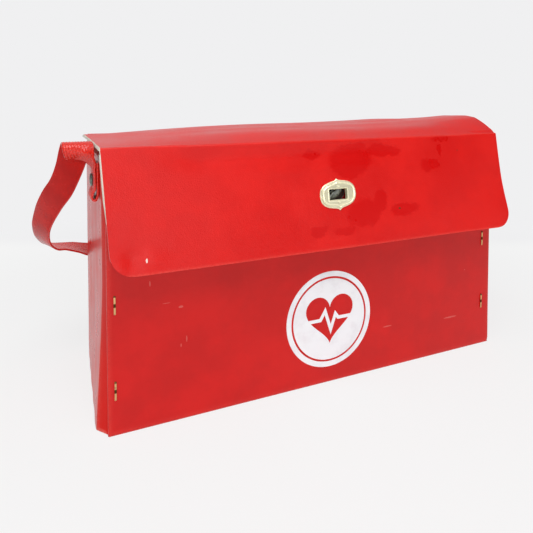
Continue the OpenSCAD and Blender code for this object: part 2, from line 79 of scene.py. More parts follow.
def principled(name, values):
    material = bpy.data.materials.new(name)
    material.use_nodes = True
    shader = material.node_tree.nodes["Principled BSDF"]
    for socket, value in values.items():
        shader.inputs[socket].default_value = value
    return material, material.node_tree, shader


def math2(tree, operation, a, b):
    return addNode(tree, "ShaderNodeMath", {0: a, 1: b}, operation=operation).outputs[0]


def remap(tree, value, low, high, toLow=0.0, toHigh=1.0):
    inputs = {"Value": value, "From Min": low, "From Max": high, "To Min": toLow, "To Max": toHigh}
    return addNode(tree, "ShaderNodeMapRange", inputs, interpolation_type="SMOOTHSTEP").outputs["Result"]


def mixColour(tree, factor, a, b):
    node = addNode(tree, "ShaderNodeMix", data_type="RGBA")
    for index, value in ((0, factor), (6, a), (7, b)):
        if isinstance(value, bpy.types.NodeSocket):
            tree.links.new(value, node.inputs[index])
        else:
            node.inputs[index].default_value = value
    return node.outputs[2]


# Irregular patches at chosen places of a sheet: each is (u, v, half width, half height) in metres
def patches(tree, coordinate, places, ragged, scale):
    warp = addNode(tree, "ShaderNodeTexNoise", {"Vector": coordinate, "Scale": scale, "Detail": 5.0,
                                                "Roughness": 0.65})
    shift = addNode(tree, "ShaderNodeVectorMath", {0: warp.outputs["Color"], 1: (0.5, 0.5, 0.5)},
                    operation="SUBTRACT")
    pushed = addNode(tree, "ShaderNodeVectorMath", {0: shift.outputs[0], "Scale": ragged}, operation="SCALE")
    warped = addNode(tree, "ShaderNodeVectorMath", {0: coordinate, 1: pushed.outputs[0]}, operation="ADD").outputs[0]
    mask = None
    for u, v, wide, high in places:
        away = addNode(tree, "ShaderNodeVectorMath", {0: warped, 1: (u, v, 0)}, operation="SUBTRACT").outputs[0]
        sized = addNode(tree, "ShaderNodeVectorMath", {0: away, 1: (1 / wide, 1 / high, 0)}, operation="MULTIPLY")
        length = addNode(tree, "ShaderNodeVectorMath", {0: sized.outputs[0]}, operation="LENGTH").outputs["Value"]
        spot = remap(tree, length, 1.0, 0.75)
        mask = spot if mask is None else math2(tree, "MAXIMUM", mask, spot)
    return mask


# Plasticised PVC leathercloth, its grain embossed by a hot roller: deep red, a soft broad gloss
def leathercloth(name, look):
    material, tree, shader = principled(name, {"IOR": 1.52, "Specular IOR Level": look.get("gloss", 0.3)})
    uv = addNode(tree, "ShaderNodeTexCoord").outputs["UV"]
    # Clouds of 45 mm are uneven dye and handling, specks of 1.6 mm the tops of the grain, drawn coarse to show
    cloud = addNode(tree, "ShaderNodeTexNoise", {"Vector": uv, "Scale": 1 / 0.045, "Detail": 4.0, "Roughness": 0.6})
    speck = addNode(tree, "ShaderNodeTexNoise", {"Vector": uv, "Scale": 1 / 0.0016, "Detail": 3.0, "Roughness": 0.7})
    clouded = remap(tree, cloud.outputs["Fac"], 0.35, 0.68)
    colour = mixColour(tree, clouded, linear(look["deep"]), linear(look["colour"]))
    specked = remap(tree, speck.outputs["Fac"], 0.55, 0.8, 0, look.get("speck", 0.25))
    colour = mixColour(tree, specked, colour, linear(look["pale"]))
    rough = remap(tree, cloud.outputs["Fac"], 0.3, 0.7, look["rough"] - 0.04, look["rough"] + 0.05)
    grainAmount = 1.0            # damp stains flatten the grain
    if "stains" in look:
        stain = patches(tree, uv, look["stains"], 0.013, 1 / 0.009)
        colour = mixColour(tree, math2(tree, "MULTIPLY", stain, 0.8), colour, linear(look["stain"]))
        rough = math2(tree, "ADD", rough, math2(tree, "MULTIPLY", stain, look["stainRough"]))
        grainAmount = remap(tree, stain, 0, 1, 1.0, 0.5)
    if "nicks" in look:
        nick = patches(tree, uv, look["nicks"], 0.0008, 1 / 0.002)
        nicked = math2(tree, "MULTIPLY", nick, look.get("nickAmount", 0.8))
        colour = mixColour(tree, nicked, colour, linear(look["bare"]))
    if "specks" in look:
        dirt = patches(tree, uv, look["specks"], 0.0006, 1 / 0.0015)
        colour = mixColour(tree, math2(tree, "MULTIPLY", dirt, 0.9), colour, linear(look["dirt"]))
    # The vertex mask pales the colour: real wear at some edges, and painted highlight along folds, rims and turned
    # edges.
    wearAndSheen = addNode(tree, "ShaderNodeAttribute", attribute_name="wearAndSheen").outputs["Fac"]
    rubbedAndSheen = math2(tree, "MULTIPLY", wearAndSheen, remap(tree, speck.outputs["Fac"], 0.35, 0.6, 0.4, 1.0))
    colour = mixColour(tree, math2(tree, "MULTIPLY", rubbedAndSheen, 0.55), colour, linear(look["wornAndSheen"]))
    tree.links.new(colour, shader.inputs["Base Color"])
    tree.links.new(rough, shader.inputs["Roughness"])
    cells = addNode(tree, "ShaderNodeTexVoronoi", {"Vector": uv, "Scale": 1 / look["grain"], "Randomness": 1.0},
                    feature="DISTANCE_TO_EDGE")
    pebble = remap(tree, cells.outputs["Distance"], 0.0, 0.3)
    fine = math2(tree, "MULTIPLY", speck.outputs["Fac"], 0.8)
    grain = math2(tree, "ADD", math2(tree, "MULTIPLY", pebble, 0.7), fine)
    grain = math2(tree, "MULTIPLY", grain, grainAmount)
    bump = addNode(tree, "ShaderNodeBump", {"Height": grain, "Strength": look["bump"], "Distance": look["depth"]})
    wavy = addNode(tree, "ShaderNodeTexNoise", {"Vector": uv, "Scale": 1 / 0.018, "Detail": 2.0})
    dents = addNode(tree, "ShaderNodeBump", {"Height": wavy.outputs["Fac"], "Strength": look.get("dent", 0.25),
                                             "Distance": 0.0006, "Normal": bump.outputs[0]})
    tree.links.new(dents.outputs[0], shader.inputs["Normal"])
    return material


# White-lined chipboard, rolled pulp with a clay coat: matt, with faint fibres and grubby handling marks
def chipboard(name, colour, grime):
    material, tree, shader = principled(name, {"Roughness": 0.85, "IOR": 1.45})
    place = addNode(tree, "ShaderNodeTexCoord").outputs["Object"]
    fibre = addNode(tree, "ShaderNodeTexNoise", {"Vector": place, "Scale": 1 / 0.0012, "Detail": 4.0,
                                                 "Roughness": 0.7})
    mark = addNode(tree, "ShaderNodeTexNoise", {"Vector": place, "Scale": 1 / 0.03, "Detail": 5.0,
                                                "Roughness": 0.7})
    tone = mixColour(tree, remap(tree, mark.outputs["Fac"], 0.5, 0.75, 0, 0.6), linear(colour), linear(grime))
    tone = mixColour(tree, remap(tree, fibre.outputs["Fac"], 0.5, 0.8, 0, 0.3), tone, linear(grime))
    tree.links.new(tone, shader.inputs["Base Color"])
    bump = addNode(tree, "ShaderNodeBump", {"Height": fibre.outputs["Fac"], "Strength": 0.35, "Distance": 0.0001})
    tree.links.new(bump.outputs[0], shader.inputs["Normal"])
    return material


# Plated pressed sheet or wire: bright metal with brushing and duller tarnish in patches
def plated(name, look):
    material, tree, shader = principled(name, {"Metallic": look.get("metallic", 1.0)})
    place = addNode(tree, "ShaderNodeTexCoord").outputs["Object"]
    patch = addNode(tree, "ShaderNodeTexNoise", {"Vector": place, "Scale": 1 / look["patch"], "Detail": 4.0,
                                                 "Roughness": 0.65})
    fine = addNode(tree, "ShaderNodeTexNoise", {"Vector": place, "Scale": 1 / 0.0004, "Detail": 2.0})
    dull = remap(tree, patch.outputs["Fac"], look["from"], look["to"], 0, look["amount"])
    if "band" in look:
        along = addNode(tree, "ShaderNodeAttribute", attribute_name="along").outputs["Fac"]
        middle = remap(tree, math2(tree, "ABSOLUTE", along, 0.0), look["band"] * 0.7, look["band"] * 1.4, 1.0, 0.0)
        topEnd = remap(tree, along, 0.8, 0.95, 0.0, 0.9)
        dull = math2(tree, "MAXIMUM", dull, math2(tree, "MAXIMUM", middle, topEnd))
    colour = mixColour(tree, dull, linear(look["colour"]), linear(look["tarnish"]))
    tree.links.new(colour, shader.inputs["Base Color"])
    rough = math2(tree, "ADD", math2(tree, "MULTIPLY", dull, 0.3), look["rough"])
    tree.links.new(rough, shader.inputs["Roughness"])
    bump = addNode(tree, "ShaderNodeBump", {"Height": fine.outputs["Fac"], "Strength": 0.2, "Distance": 0.00005})
    tree.links.new(bump.outputs[0], shader.inputs["Normal"])
    return material


# Screen-printed vinyl ink, squeegeed through mesh: an opaque satin white with pinholes and a little grime
def screenInk(name):
    material, tree, shader = principled(name, {"IOR": 1.48, "Roughness": 0.42})
    place = addNode(tree, "ShaderNodeTexCoord").outputs["Object"]
    holes = addNode(tree, "ShaderNodeTexNoise", {"Vector": place, "Scale": 1 / 0.0009, "Detail": 3.0,
                                                 "Roughness": 0.7})
    cloud = addNode(tree, "ShaderNodeTexNoise", {"Vector": place, "Scale": 1 / 0.012, "Detail": 4.0,
                                                 "Roughness": 0.6})
    tone = mixColour(tree, remap(tree, cloud.outputs["Fac"], 0.4, 0.7), linear("#f3f4f7"), linear("#ebeaee"))
    tone = mixColour(tree, remap(tree, holes.outputs["Fac"], 0.74, 0.82, 0, 0.5), tone, linear("#d8605a"))
    tree.links.new(tone, shader.inputs["Base Color"])
    bump = addNode(tree, "ShaderNodeBump", {"Height": holes.outputs["Fac"], "Strength": 0.3, "Distance": 0.00008})
    tree.links.new(bump.outputs[0], shader.inputs["Normal"])
    return material


print("material makers ready")


# Sheets: a closed shell from an outer and an inner grid of points in millimetres

def blankMesh(name, points, faces, kinds, smoothAngle=40):
    mesh = bpy.data.meshes.new(name)
    mesh.from_pydata([tuple(p) for p in np.asarray(points) * mm], [], faces)
    mesh.polygons.foreach_set("material_index", kinds)
    work = bmesh.new()
    work.from_mesh(mesh)
    bmesh.ops.recalc_face_normals(work, faces=work.faces)
    work.to_mesh(mesh)
    work.free()
    mesh.shade_smooth()
    mesh.set_sharp_from_angle(angle=math.radians(smoothAngle))
    obj = bpy.data.objects.new(name, mesh)
    bpy.context.scene.collection.objects.link(obj)
    return obj


def setUv(obj, uv):
    layer = obj.data.uv_layers.new(name="UVMap")
    corner = np.zeros(len(obj.data.loops), int)
    obj.data.loops.foreach_get("vertex_index", corner)
    layer.data.foreach_set("uv", (np.asarray(uv)[corner] * mm).astype(np.float32).ravel())


def setWearAndSheen(obj, wearAndSheen):
    attribute = obj.data.attributes.new("wearAndSheen", "FLOAT", "POINT")
    attribute.data.foreach_set("value", np.asarray(wearAndSheen, np.float32).ravel())


def gridNormals(grid):
    alongU = np.gradient(grid, axis=0)
    alongV = np.gradient(grid, axis=1)
    normal = np.cross(alongU, alongV)
    return normal / np.maximum(np.linalg.norm(normal, axis=2, keepdims=True), 1e-9)


# rims holds the material of the edges at the first and last u, then at the first and last v
def sheet(name, outer, inner, uv, wearAndSheen=None, rims=(0, 0, 0, 0), inside=1):
    nu, nv = outer.shape[:2]
    count = nu * nv
    index = np.arange(count).reshape(nu, nv)
    faces, kinds = [], []
    for layer, kind in ((0, 0), (count, inside)):
        a = index[:-1, :-1].ravel() + layer
        quads = np.stack([a, index[1:, :-1].ravel() + layer, index[1:, 1:].ravel() + layer,
                          index[:-1, 1:].ravel() + layer], 1)
        faces += quads.tolist() if layer == 0 else quads[:, ::-1].tolist()
        kinds += [kind] * len(quads)
    for edge, kind in zip((index[0], index[-1], index[:, 0], index[:, -1]), rims):
        for k in range(len(edge) - 1):
            a, b = int(edge[k]), int(edge[k + 1])
            faces.append([a, b, b + count, a + count])
            kinds.append(int(kind[k]) if np.ndim(kind) else kind)
    points = np.concatenate([outer.reshape(-1, 3), inner.reshape(-1, 3)])
    obj = blankMesh(name, points, faces, kinds)
    flat = np.asarray(uv).reshape(-1, 2)
    setUv(obj, np.concatenate([flat, flat]))
    wearAndSheen = np.zeros((nu, nv)) if wearAndSheen is None else wearAndSheen
    setWearAndSheen(obj, np.concatenate([wearAndSheen.ravel(), wearAndSheen.ravel()]))
    return obj


def smoothStep(value, low, high):
    t = np.clip((np.asarray(value, float) - low) / (high - low), 0, 1)
    return t * t * (3 - 2 * t)


def bell(value, centre, width):
    return np.exp(-((np.asarray(value, float) - centre) / width) ** 2)


# Slow random waves over a sheet, one value per grid point, always the same
def ripples(x, y, size, seed):
    flat = [noise.noise((a / size, b / size, seed)) for a, b in zip(np.ravel(x), np.ravel(y))]
    return np.array(flat).reshape(np.shape(x))


def joined(name, parts):
    with bpy.context.temp_override(active_object=parts[0], selected_editable_objects=parts):
        bpy.ops.object.join()
    parts[0].name = name
    return parts[0]


def finished(obj, body, slot, materials, *nodes):
    for material in materials:
        obj.data.materials.append(material)
    if body:
        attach(obj, body)
    if nodes:
        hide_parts(*nodes)
    return obj


def nodeBox(name):
    low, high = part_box(name)
    return np.array(low) / mm, np.array(high) / mm


# Sizes taken from the frame, in millimetres
vinyl = 0.5
board = 1.5
panelLow, panelHigh = nodeBox("front_cover")
halfWidth, caseHeight = panelHigh[0], panelHigh[2]
frontFace, backFace = panelLow[1], nodeBox("back_cover")[1][1]
lidLow, lidHigh = nodeBox("lid_cover")
joints = {j["name"]: np.array(j["pos_m"]) / mm for j in frame["joints"]}
foldAxis, hingeAxis = joints["flap_fold"], joints["lid_hinge"]


# Lid and flap: one sheet of leathercloth over board, folded along the lid's front

lidFlap = {
    "flare": 9.0,                # degrees that the flap stands off the front panel
    "length": 81.5,              # of the flap below the fold, mm
    "skew": 4.5,                 # sideways shift of the flap's lower edge
    "cornerRadius": 15.0,
    "crownMid": 8.0,
    "crownLeft": 0.5,
    "shoulder": 6.3,             # width of the bevel between the two creases in the middle
    "foldRadius": 1.5,
    "rawEdge": 0.9,              # how far the white board stands out past the skin at the lid's left edge
    # Section of the lid at its right end: place across the depth, share of the crown
    "ridge": [(-1.0, 0), (-0.965, 0.17), (-0.86, 0.45), (-0.75, 0.72), (-0.65, 0.93), (-0.5, 0.985),
              (-0.24, 1.0), (0.07, 0.9), (0.54, 0.67), (0.93, 0.4), (0.985, 0.2), (1.0, 0)],
    # Dents (below 0) and swellings of the flap: height, then x and half width, then drop and half height
    "dents": [(-1.3, -152, 7, 70, 6), (0.8, -160, 5, 75, 5), (0.9, -140, 9, 73, 6), (0.5, 60, 40, 70, 18)],
    "flick": 2.2,                # how far the flap's lower right corner stands out
    "rawLength": 47,             # how far down the flap's left edge is left unwrapped
    "columns": 150, "lidRows": 60, "flapRows": 84,
}
flare = math.radians(lidFlap["flare"])
flatZ = lidLow[2] + vinyl
lidMid, lidReach = (lidHigh[1] + lidLow[1]) / 2, (lidHigh[1] - lidLow[1]) / 2
lidWide = lidHigh[0]
claspLow, claspHigh = nodeBox("clasp_plate")
clasp = {
    "x": (claspLow[0] + claspHigh[0]) / 2, "drop": 41.0,
    "width": claspHigh[0] - claspLow[0], "cusp": 1.9,
    "slotWidth": 16.2, "slotHeight": 8.6,
}


def middleShare(x):
    return smoothStep(x, -140, -104) * (1 - smoothStep(x, 124, 150))


def lidTop(x, y):
    s, v = x / lidWide, (y - lidMid) / lidReach
    crownRight = lidHigh[2] - flatZ
    middle = lidFlap["crownMid"] * (1 - s * s)
    along = np.where(s < 0, middle + lidFlap["crownLeft"] * s * s,
                     lidFlap["crownMid"] + (crownRight - lidFlap["crownMid"]) * s * s)
    even = 1 - np.abs(v) ** 4
    places, heights = zip(*lidFlap["ridge"])
    uneven = np.interp(v, places, heights)
    share = smoothStep(x, 95, 158)
    waves = 0.28 * np.sin(y / 4.6 + x / 90) * np.clip(1 - v ** 4, 0, 1) * smoothStep(x, -170, -60)
    return flatZ + along * (even + (uneven - even) * share) + waves


# A point of the flap at x, a distance below the fold and a height out of its outer face
def flapPoint(x, drop, out):
    y, z = -1 - out, -drop
    c, s = math.cos(flare), math.sin(flare)
    return np.stack(np.broadcast_arrays(x, foldAxis[1] + y * c - z * -s, foldAxis[2] + y * -s + z * c), -1)


def flapRelief(x, drop):
    quiet = smoothStep(np.hypot((x - clasp["x"]) / 19, (drop - clasp["drop"]) / 15), 0.9, 2.3)
    out = 0.9 * ripples(x, drop, 60, 3.0) * quiet * smoothStep(drop, 2, 20)
    out -= 1.6 * middleShare(x) * bell(drop, 10, 7) * smoothStep(-x, -120, 60)
    for height, atX, wide, atDrop, high in lidFlap["dents"]:
        out += height * bell(x, atX, wide) * bell(drop, atDrop, high)
    return out + lidFlap["flick"] * smoothStep(x, 110, 176) * smoothStep(drop, 35, 80)


def flapSpan(drop):
    length, radius = lidFlap["length"], lidFlap["cornerRadius"]
    t = np.clip(drop / length, 0, 1)
    into = np.clip(drop - (length - radius), 0, radius)
    inset = radius - np.sqrt(np.maximum(radius ** 2 - into ** 2, 0))
    left = -lidWide + lidFlap["skew"] * t + inset
    right = lidWide + lidFlap["skew"] * (0.25 * t + 0.75 * t ** 2.4) - inset
    return left, right


def bezier(a, corner, b, count):
    t = np.linspace(0, 1, count)[None, :, None]
    return (1 - t) ** 2 * a[:, None] + 2 * t * (1 - t) * corner[:, None] + t * t * b[:, None]


def lidFlapGrid():
    share = np.linspace(0, 1, lidFlap["columns"])
    share = share - 0.012 * np.sin(2 * np.pi * share)
    x = -lidWide + 2 * lidWide * share
    radius = lidFlap["foldRadius"] + 1.6 * (1 - smoothStep(x, -lidWide, -lidWide + 14))
    upperY = lidLow[1] + lidFlap["shoulder"] * middleShare(x)
    upper = np.stack([x, upperY, lidTop(x, upperY)], -1)
    lowerZ = flatZ - 0.6 * middleShare(x)
    lowerDrop = -(lowerZ - foldAxis[2]) / math.cos(flare)
    lower = flapPoint(x, lowerDrop, 0)
    nLid = lidFlap["lidRows"]
    easing = 0.5 - 0.5 * np.cos(np.pi * np.linspace(0, 1, nLid))
    endY = upperY + 1.4
    lidY = lidHigh[1] + (endY[:, None] - lidHigh[1]) * easing[None, :]
    lidX = np.repeat(x[:, None], nLid, 1)
    lidPart = np.stack([lidX, lidY, lidTop(lidX, lidY)], -1)
    gap = lower - upper
    reach = np.minimum(radius, 0.42 * np.linalg.norm(gap, axis=1))[:, None]
    toward = gap / np.linalg.norm(gap, axis=1)[:, None]
    first = bezier(lidPart[:, -1], upper, upper + toward * reach, 6)[:, 1:]
    startDrop = lowerDrop + radius
    flapTop = flapPoint(x, startDrop, 0)
    second = bezier(lower - toward * reach, lower, flapTop, 9)
    nFlap = lidFlap["flapRows"]
    t = np.linspace(0, 1, nFlap)
    t = t + 0.05 * np.sin(2 * np.pi * t)
    t = np.where(t > 0.8, 1 - 0.2 * ((1 - t) / 0.2) ** 1.35, t)
    drop = startDrop[:, None] + (lidFlap["length"] - startDrop[:, None]) * t[None, 1:]
    left, right = flapSpan(drop)
    flapX = left + (right - left) * share[:, None]
    flapPart = flapPoint(flapX, drop, flapRelief(flapX, drop))
    grid = np.concatenate([lidPart, first, second, flapPart], 1)
    drops = np.concatenate([np.full((len(x), grid.shape[1] - nFlap + 1), -1.0), drop], 1)
    return grid, drops, nLid + 5


def arcUv(grid):
    steps = np.linalg.norm(np.diff(grid, axis=1), axis=2)
    middle = len(grid) // 2
    v = np.concatenate([[0], np.cumsum(steps[middle])])
    return np.stack([grid[:, :, 0], np.repeat(v[None], len(grid), 0)], -1)


def slotCutter():
    w, h = clasp["slotWidth"] / 2, clasp["slotHeight"] / 2
    corners = [flapPoint(clasp["x"] + sx * w, clasp["drop"] + sy * h, out) for out in (-8, 8)
               for sx, sy in ((-1, -1), (1, -1), (1, 1), (-1, 1))]
    faces = [(0, 1, 2, 3), (7, 6, 5, 4)] + [(i, i + 4, (i + 1) % 4 + 4, (i + 1) % 4) for i in range(4)]
    return blankMesh("slotCutter", np.array(corners), faces, [0] * 6)


def cutSlot(obj):
    cutter = slotCutter()
    modifier = obj.modifiers.new("slot", "BOOLEAN")
    modifier.operation, modifier.solver, modifier.object = "DIFFERENCE", "EXACT", cutter
    bake(obj)
    bpy.data.objects.remove(cutter)


def bake(obj):
    depsgraph = bpy.context.evaluated_depsgraph_get()
    mesh = bpy.data.meshes.new_from_object(obj.evaluated_get(depsgraph), depsgraph=depsgraph)
    obj.modifiers.clear()
    obj.data = mesh


grainedRed = leathercloth("pvcLeatherclothPebbled", {
    "colour": "#df1109", "deep": "#d40b06", "pale": "#ee4034", "speck": 0.2, "rough": 0.38,
    "grain": 0.0011, "bump": 0.55, "depth": 0.00016, "wornAndSheen": "#f06a5c",
    "stain": "#cc0000", "stainRough": -0.08,
    "stains": [(0.015, 0.151, 0.022, 0.014), (0.045, 0.1445, 0.022, 0.006), (0.018, 0.140, 0.014, 0.004),
               (0.014, 0.161, 0.010, 0.006), (-0.0185, 0.145, 0.008, 0.005), (0.024, 0.192, 0.018, 0.012),
               (0.040, 0.183, 0.007, 0.010), (0.006, 0.203, 0.010, 0.004), (0.062, 0.191, 0.016, 0.006),
               (0.093, 0.158, 0.012, 0.006), (0.106, 0.137, 0.012, 0.003), (0.104, 0.146, 0.003, 0.006),
               (-0.016, 0.201, 0.009, 0.005)],
    "nicks": [(-0.1435, 0.2071, 0.0007, 0.0016)],
    "specks": [(0.0574, 0.1907, 0.0010, 0.0009), (0.123, 0.1471, 0.0007, 0.0005)], "dirt": "#3c3a1e",
    "bare": "#f2e9df",
})
lining = chipboard("chipboardWhiteLined", "#efe9dc", "#cfc4ad")
boardEdge = chipboard("chipboardCutEdge", "#efeadd", "#c9bda2")
wrappedEdge = leathercloth("pvcLeatherclothTurnedEdge", {
    "colour": "#d9170f", "deep": "#c90d0a", "pale": "#ee5446", "rough": 0.38,
    "grain": 0.0011, "bump": 0.3, "depth": 0.0001, "wornAndSheen": "#f06a5c"})
clothBack = chipboard("cottonBacking", "#e9e0d0", "#c8bca6")


def buildLidFlap():
    grid, drops, foldRow = lidFlapGrid()
    normal = gridNormals(grid)
    if normal[len(normal) // 2, 5, 2] < 0:
        normal = -normal
    uv = arcUv(grid)
    fromFold = np.abs(uv[..., 1] - uv[0, foldRow, 1])
    # The pale line along the fold and along the flap's lower rim is a painted highlight, with a little real wear.
    wearAndSheen = 0.3 * bell(fromFold, 1, 1) + 0.5 * bell(drops, lidFlap["length"], 1.2)
    bare = (drops[0] < lidFlap["rawLength"]).astype(int)
    proud = np.zeros_like(grid)
    proud[0, :, 0] = -lidFlap["rawEdge"] * (1 - smoothStep(drops[0], 30, 50))
    skin = sheet("lidFlapSkin", grid, grid - normal * vinyl + 0.5 * proud, uv, wearAndSheen, rims=(bare, 0, 0, 0), inside=1)
    cutSlot(skin)
    finished(skin, None, "vinyl_grained", [grainedRed, clothBack], "lid_cover", "flap_cover", "flap_hinge_strip")
    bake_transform(skin)
    inner = grid - normal * (vinyl + 0.02) + 0.55 * proud
    under = grid - normal * (vinyl + board) + proud
    lastLid = foldRow + 1
    panel = sheet("lidLining", inner[:, :lastLid], under[:, :lastLid], uv[:, :lastLid], rims=(1, 1, 1, 1), inside=0)
    finished(panel, "lid", "white_board", [lining, boardEdge], "lid_board")
    firstFlap = foldRow + 9
    turned = (drops[0, firstFlap:] > lidFlap["rawLength"]).astype(int) + 1
    flapPanel = sheet("flapLining", inner[:, firstFlap:], under[:, firstFlap:], uv[:, firstFlap:],
                      rims=(turned, turned, 1, 2), inside=0)
    cutSlot(flapPanel)
    finished(flapPanel, "flap", "white_board", [lining, boardEdge, wrappedEdge], "flap_board")


buildLidFlap()
print("lid and flap built")


# Body panels: leathercloth glued over board and turned round its side edges

bodyPanel = {
    "edgeRadius": 0.7, "wrap": 0.4, "skin": 0.42, "columns": 120, "rows": 64, "wave": 0.35,
    "dogEar": 3.2, "dogEarHeight": 3.4,      # the front panel's lower right corner, rubbed round
    "footRadius": 1.2, "footTurn": 0.9,      # the skin turned under along the bottom edge
}
roundelLow, roundelHigh = nodeBox("roundel_print")
lockLow, lockHigh = nodeBox("lock_base")
smoothRed = leathercloth("pvcLeatherclothSmooth", {
    "colour": "#d20d08", "deep": "#c40905", "pale": "#e03a2e", "speck": 0.12, "rough": 0.34,
    "grain": 0.0009, "bump": 0.22, "depth": 0.00010, "wornAndSheen": "#e8584a", "nickAmount": 0.22, "bare": "#f0b0a4",
    "nicks": [(-0.139, 0.098, 0.0005, 0.0022), (-0.118, 0.052, 0.0005, 0.0014), (-0.114, 0.056, 0.0004, 0.0026),
              (0.0155, 0.051, 0.0007, 0.0007), (-0.128, 0.083, 0.0030, 0.0003), (0.055, 0.034, 0.0050, 0.0006),
              (0.122, 0.030, 0.0080, 0.0007), (0.138, 0.070, 0.0006, 0.0006), (-0.118, 0.079, 0.0018, 0.0009)],
})


# Across the panel: wrap, face, wrap. Depth is how far a point lies behind the face.
def panelSection(columns):
    radius, wide = bodyPanel["edgeRadius"], halfWidth + bodyPanel["wrap"]
    turn = np.linspace(0, np.pi / 2, 6)
    side = [(-wide, vinyl + board - 0.1)] + [(-wide + radius - radius * math.cos(a), radius - radius * math.sin(a))
                                             for a in turn]
    face = [(x, 0.0) for x in np.linspace(-wide + radius, wide - radius, columns)[1:-1]]
    other = [(-x, d) for x, d in reversed(side)]
    return np.array(side + face + other)


# 1 at the floor, falling to 0 at the radius along a quarter of a circle
def quarterRound(z, radius):
    return (1 - np.sqrt(np.clip(1 - (1 - z / radius) ** 2, 0, 1))) * (z < radius)


def bodySkin(name, face, outward, seed, dogEar, quiet, wearAndSheen, *nodes):
    section = panelSection(bodyPanel["columns"])
    foot, ear = bodyPanel["footRadius"], bodyPanel["dogEarHeight"]
    heights = np.concatenate([foot - foot * np.cos(np.linspace(0, np.pi / 2, 6)),
                              np.linspace(foot, caseHeight, bodyPanel["rows"])[1:]])
    x = np.repeat(section[:, :1], len(heights), 1)
    depth = np.repeat(section[:, 1:], len(heights), 1)
    z = np.repeat(heights[None], len(x), 0)
    x = x - dogEar * smoothStep(x, 140, halfWidth) * quarterRound(z, ear)
    depth = depth + bodyPanel["footTurn"] * quarterRound(z, foot)
    calm = np.ones_like(x)
    for low, high in quiet:
        reach = max(high[0] - low[0], high[2] - low[2]) / 2 + 8
        away = np.hypot(x - (low[0] + high[0]) / 2, z - (low[2] + high[2]) / 2)
        calm *= smoothStep(away, reach - 6, reach + 22)
    wave = bodyPanel["wave"] * (0.5 + 0.5 * ripples(x, z, 70, seed)) * calm * smoothStep(z, 0, 30)
    y = face + outward * (-depth - wave)
    grid = np.stack([x, y, z + 0.4 * ripples(x, z, 45, seed + 5) * (1 - smoothStep(z, 0, 12))], -1)
    grid[..., 2] = np.maximum(grid[..., 2], 0)
    normal = gridNormals(grid)
    normal *= np.sign(normal[len(normal) // 2, 20, 1] * outward)
    # Paler along the foot, and a painted highlight along the turned side edges.
    rubbedAndSheen = wearAndSheen * np.maximum(1 - smoothStep(z, 0, 2.5), bell(np.abs(x), halfWidth + 0.2, 1.2))
    obj = sheet(name, grid, grid - normal * bodyPanel["skin"], np.stack([x, z], -1), rubbedAndSheen, inside=1)
    return finished(obj, "case", "vinyl_panel", [smoothRed, clothBack], *nodes)


printAndLock = [(roundelLow, roundelHigh), (lockLow, lockHigh)]      # the skin lies flat round these
bodySkin("frontSkin", frontFace, -1, 2.0, bodyPanel["dogEar"], printAndLock, 0.5, "front_cover")
bodySkin("backSkin", backFace, 1, 9.0, 0.6, [], 0.4, "back_cover")


def flatSheet(name, low, high, materials, body, slot, *nodes):
    u, v = np.meshgrid(np.linspace(low[0], high[0], 12), np.linspace(low[1], high[1], 8), indexing="ij")
    grid = np.stack([u, v, np.full_like(u, low[2])], -1)
    top = grid + np.array([0, 0, high[2] - low[2]])
    obj = sheet(name, grid, top, np.stack([u, v], -1), inside=1)
    return finished(obj, body, slot, materials, *nodes)


bottomLow, bottomHigh = nodeBox("bottom_cover")
flatSheet("bottomSkin", bottomLow, bottomHigh, [smoothRed, clothBack], "case", "vinyl_panel", "bottom_cover")


# End panels: one folded sheet each, soft folds, a bulge at the foot and a dust flap under the lid

endPanel = {
    "flange": 16.0, "foldInset": 11.0, "bulge": 2.0, "footBulge": 5.0, "footHeight": 100.0,
    "dustFold": 7.0, "dustFlap": 24.0, "dustSlope": 10.0, "foldRadius": 0.9, "wallWave": 0.36,
}
endRed = leathercloth("pvcLeatherclothGusset", {
    "colour": "#e62a20", "deep": "#d9180f", "pale": "#f0584c", "speck": 0.05, "rough": 0.3, "gloss": 0.22,
    "grain": 0.0009, "bump": 0.012, "depth": 0.00005, "dent": 0.12, "wornAndSheen": "#f0e0d4"})
gussetRed = leathercloth("pvcLeatherclothGussetFold", {
    "colour": "#e2231a", "deep": "#d81a11", "pale": "#e64a3e", "speck": 0.1, "rough": 0.5, "gloss": 0.1,
    "grain": 0.0009, "bump": 0.1, "depth": 0.00006, "wornAndSheen": "#f0a090"})


def bulgeAt(z):
    grow = np.clip(1 - z / endPanel["footHeight"], 0, 1) ** 1.3
    return endPanel["bulge"] + endPanel["footBulge"] * grow


def endCorners(z):
    inner = backFace - vinyl - board
    fold = backFace - endPanel["foldInset"]
    bulge, wall = bulgeAt(z), halfWidth + endPanel["bulge"]
    flange = halfWidth - endPanel["flange"]
    return [(flange, -inner), (halfWidth, -inner), (halfWidth + bulge, -fold), (wall, fold), (halfWidth, inner),
            (flange, inner)]


def roundedLine(corners, radius, straights, turns):
    points = []
    last = np.array(corners[0], float)
    for k in range(1, len(corners) - 1):
        corner, after = np.array(corners[k], float), np.array(corners[k + 1], float)
        into = (corner - last) / np.linalg.norm(corner - last)
        away = (after - corner) / np.linalg.norm(after - corner)
        start, end = corner - into * radius, corner + away * radius
        points += [last + (start - last) * t for t in np.linspace(0, 1, straights[k - 1], endpoint=False)]
        points += [(1 - t) ** 2 * start + 2 * t * (1 - t) * corner + t * t * end
                   for t in np.linspace(0, 1, turns, endpoint=False)]
        last = end
    points += [last + (np.array(corners[-1]) - last) * t for t in np.linspace(0, 1, straights[-1])]
    return np.array(points)


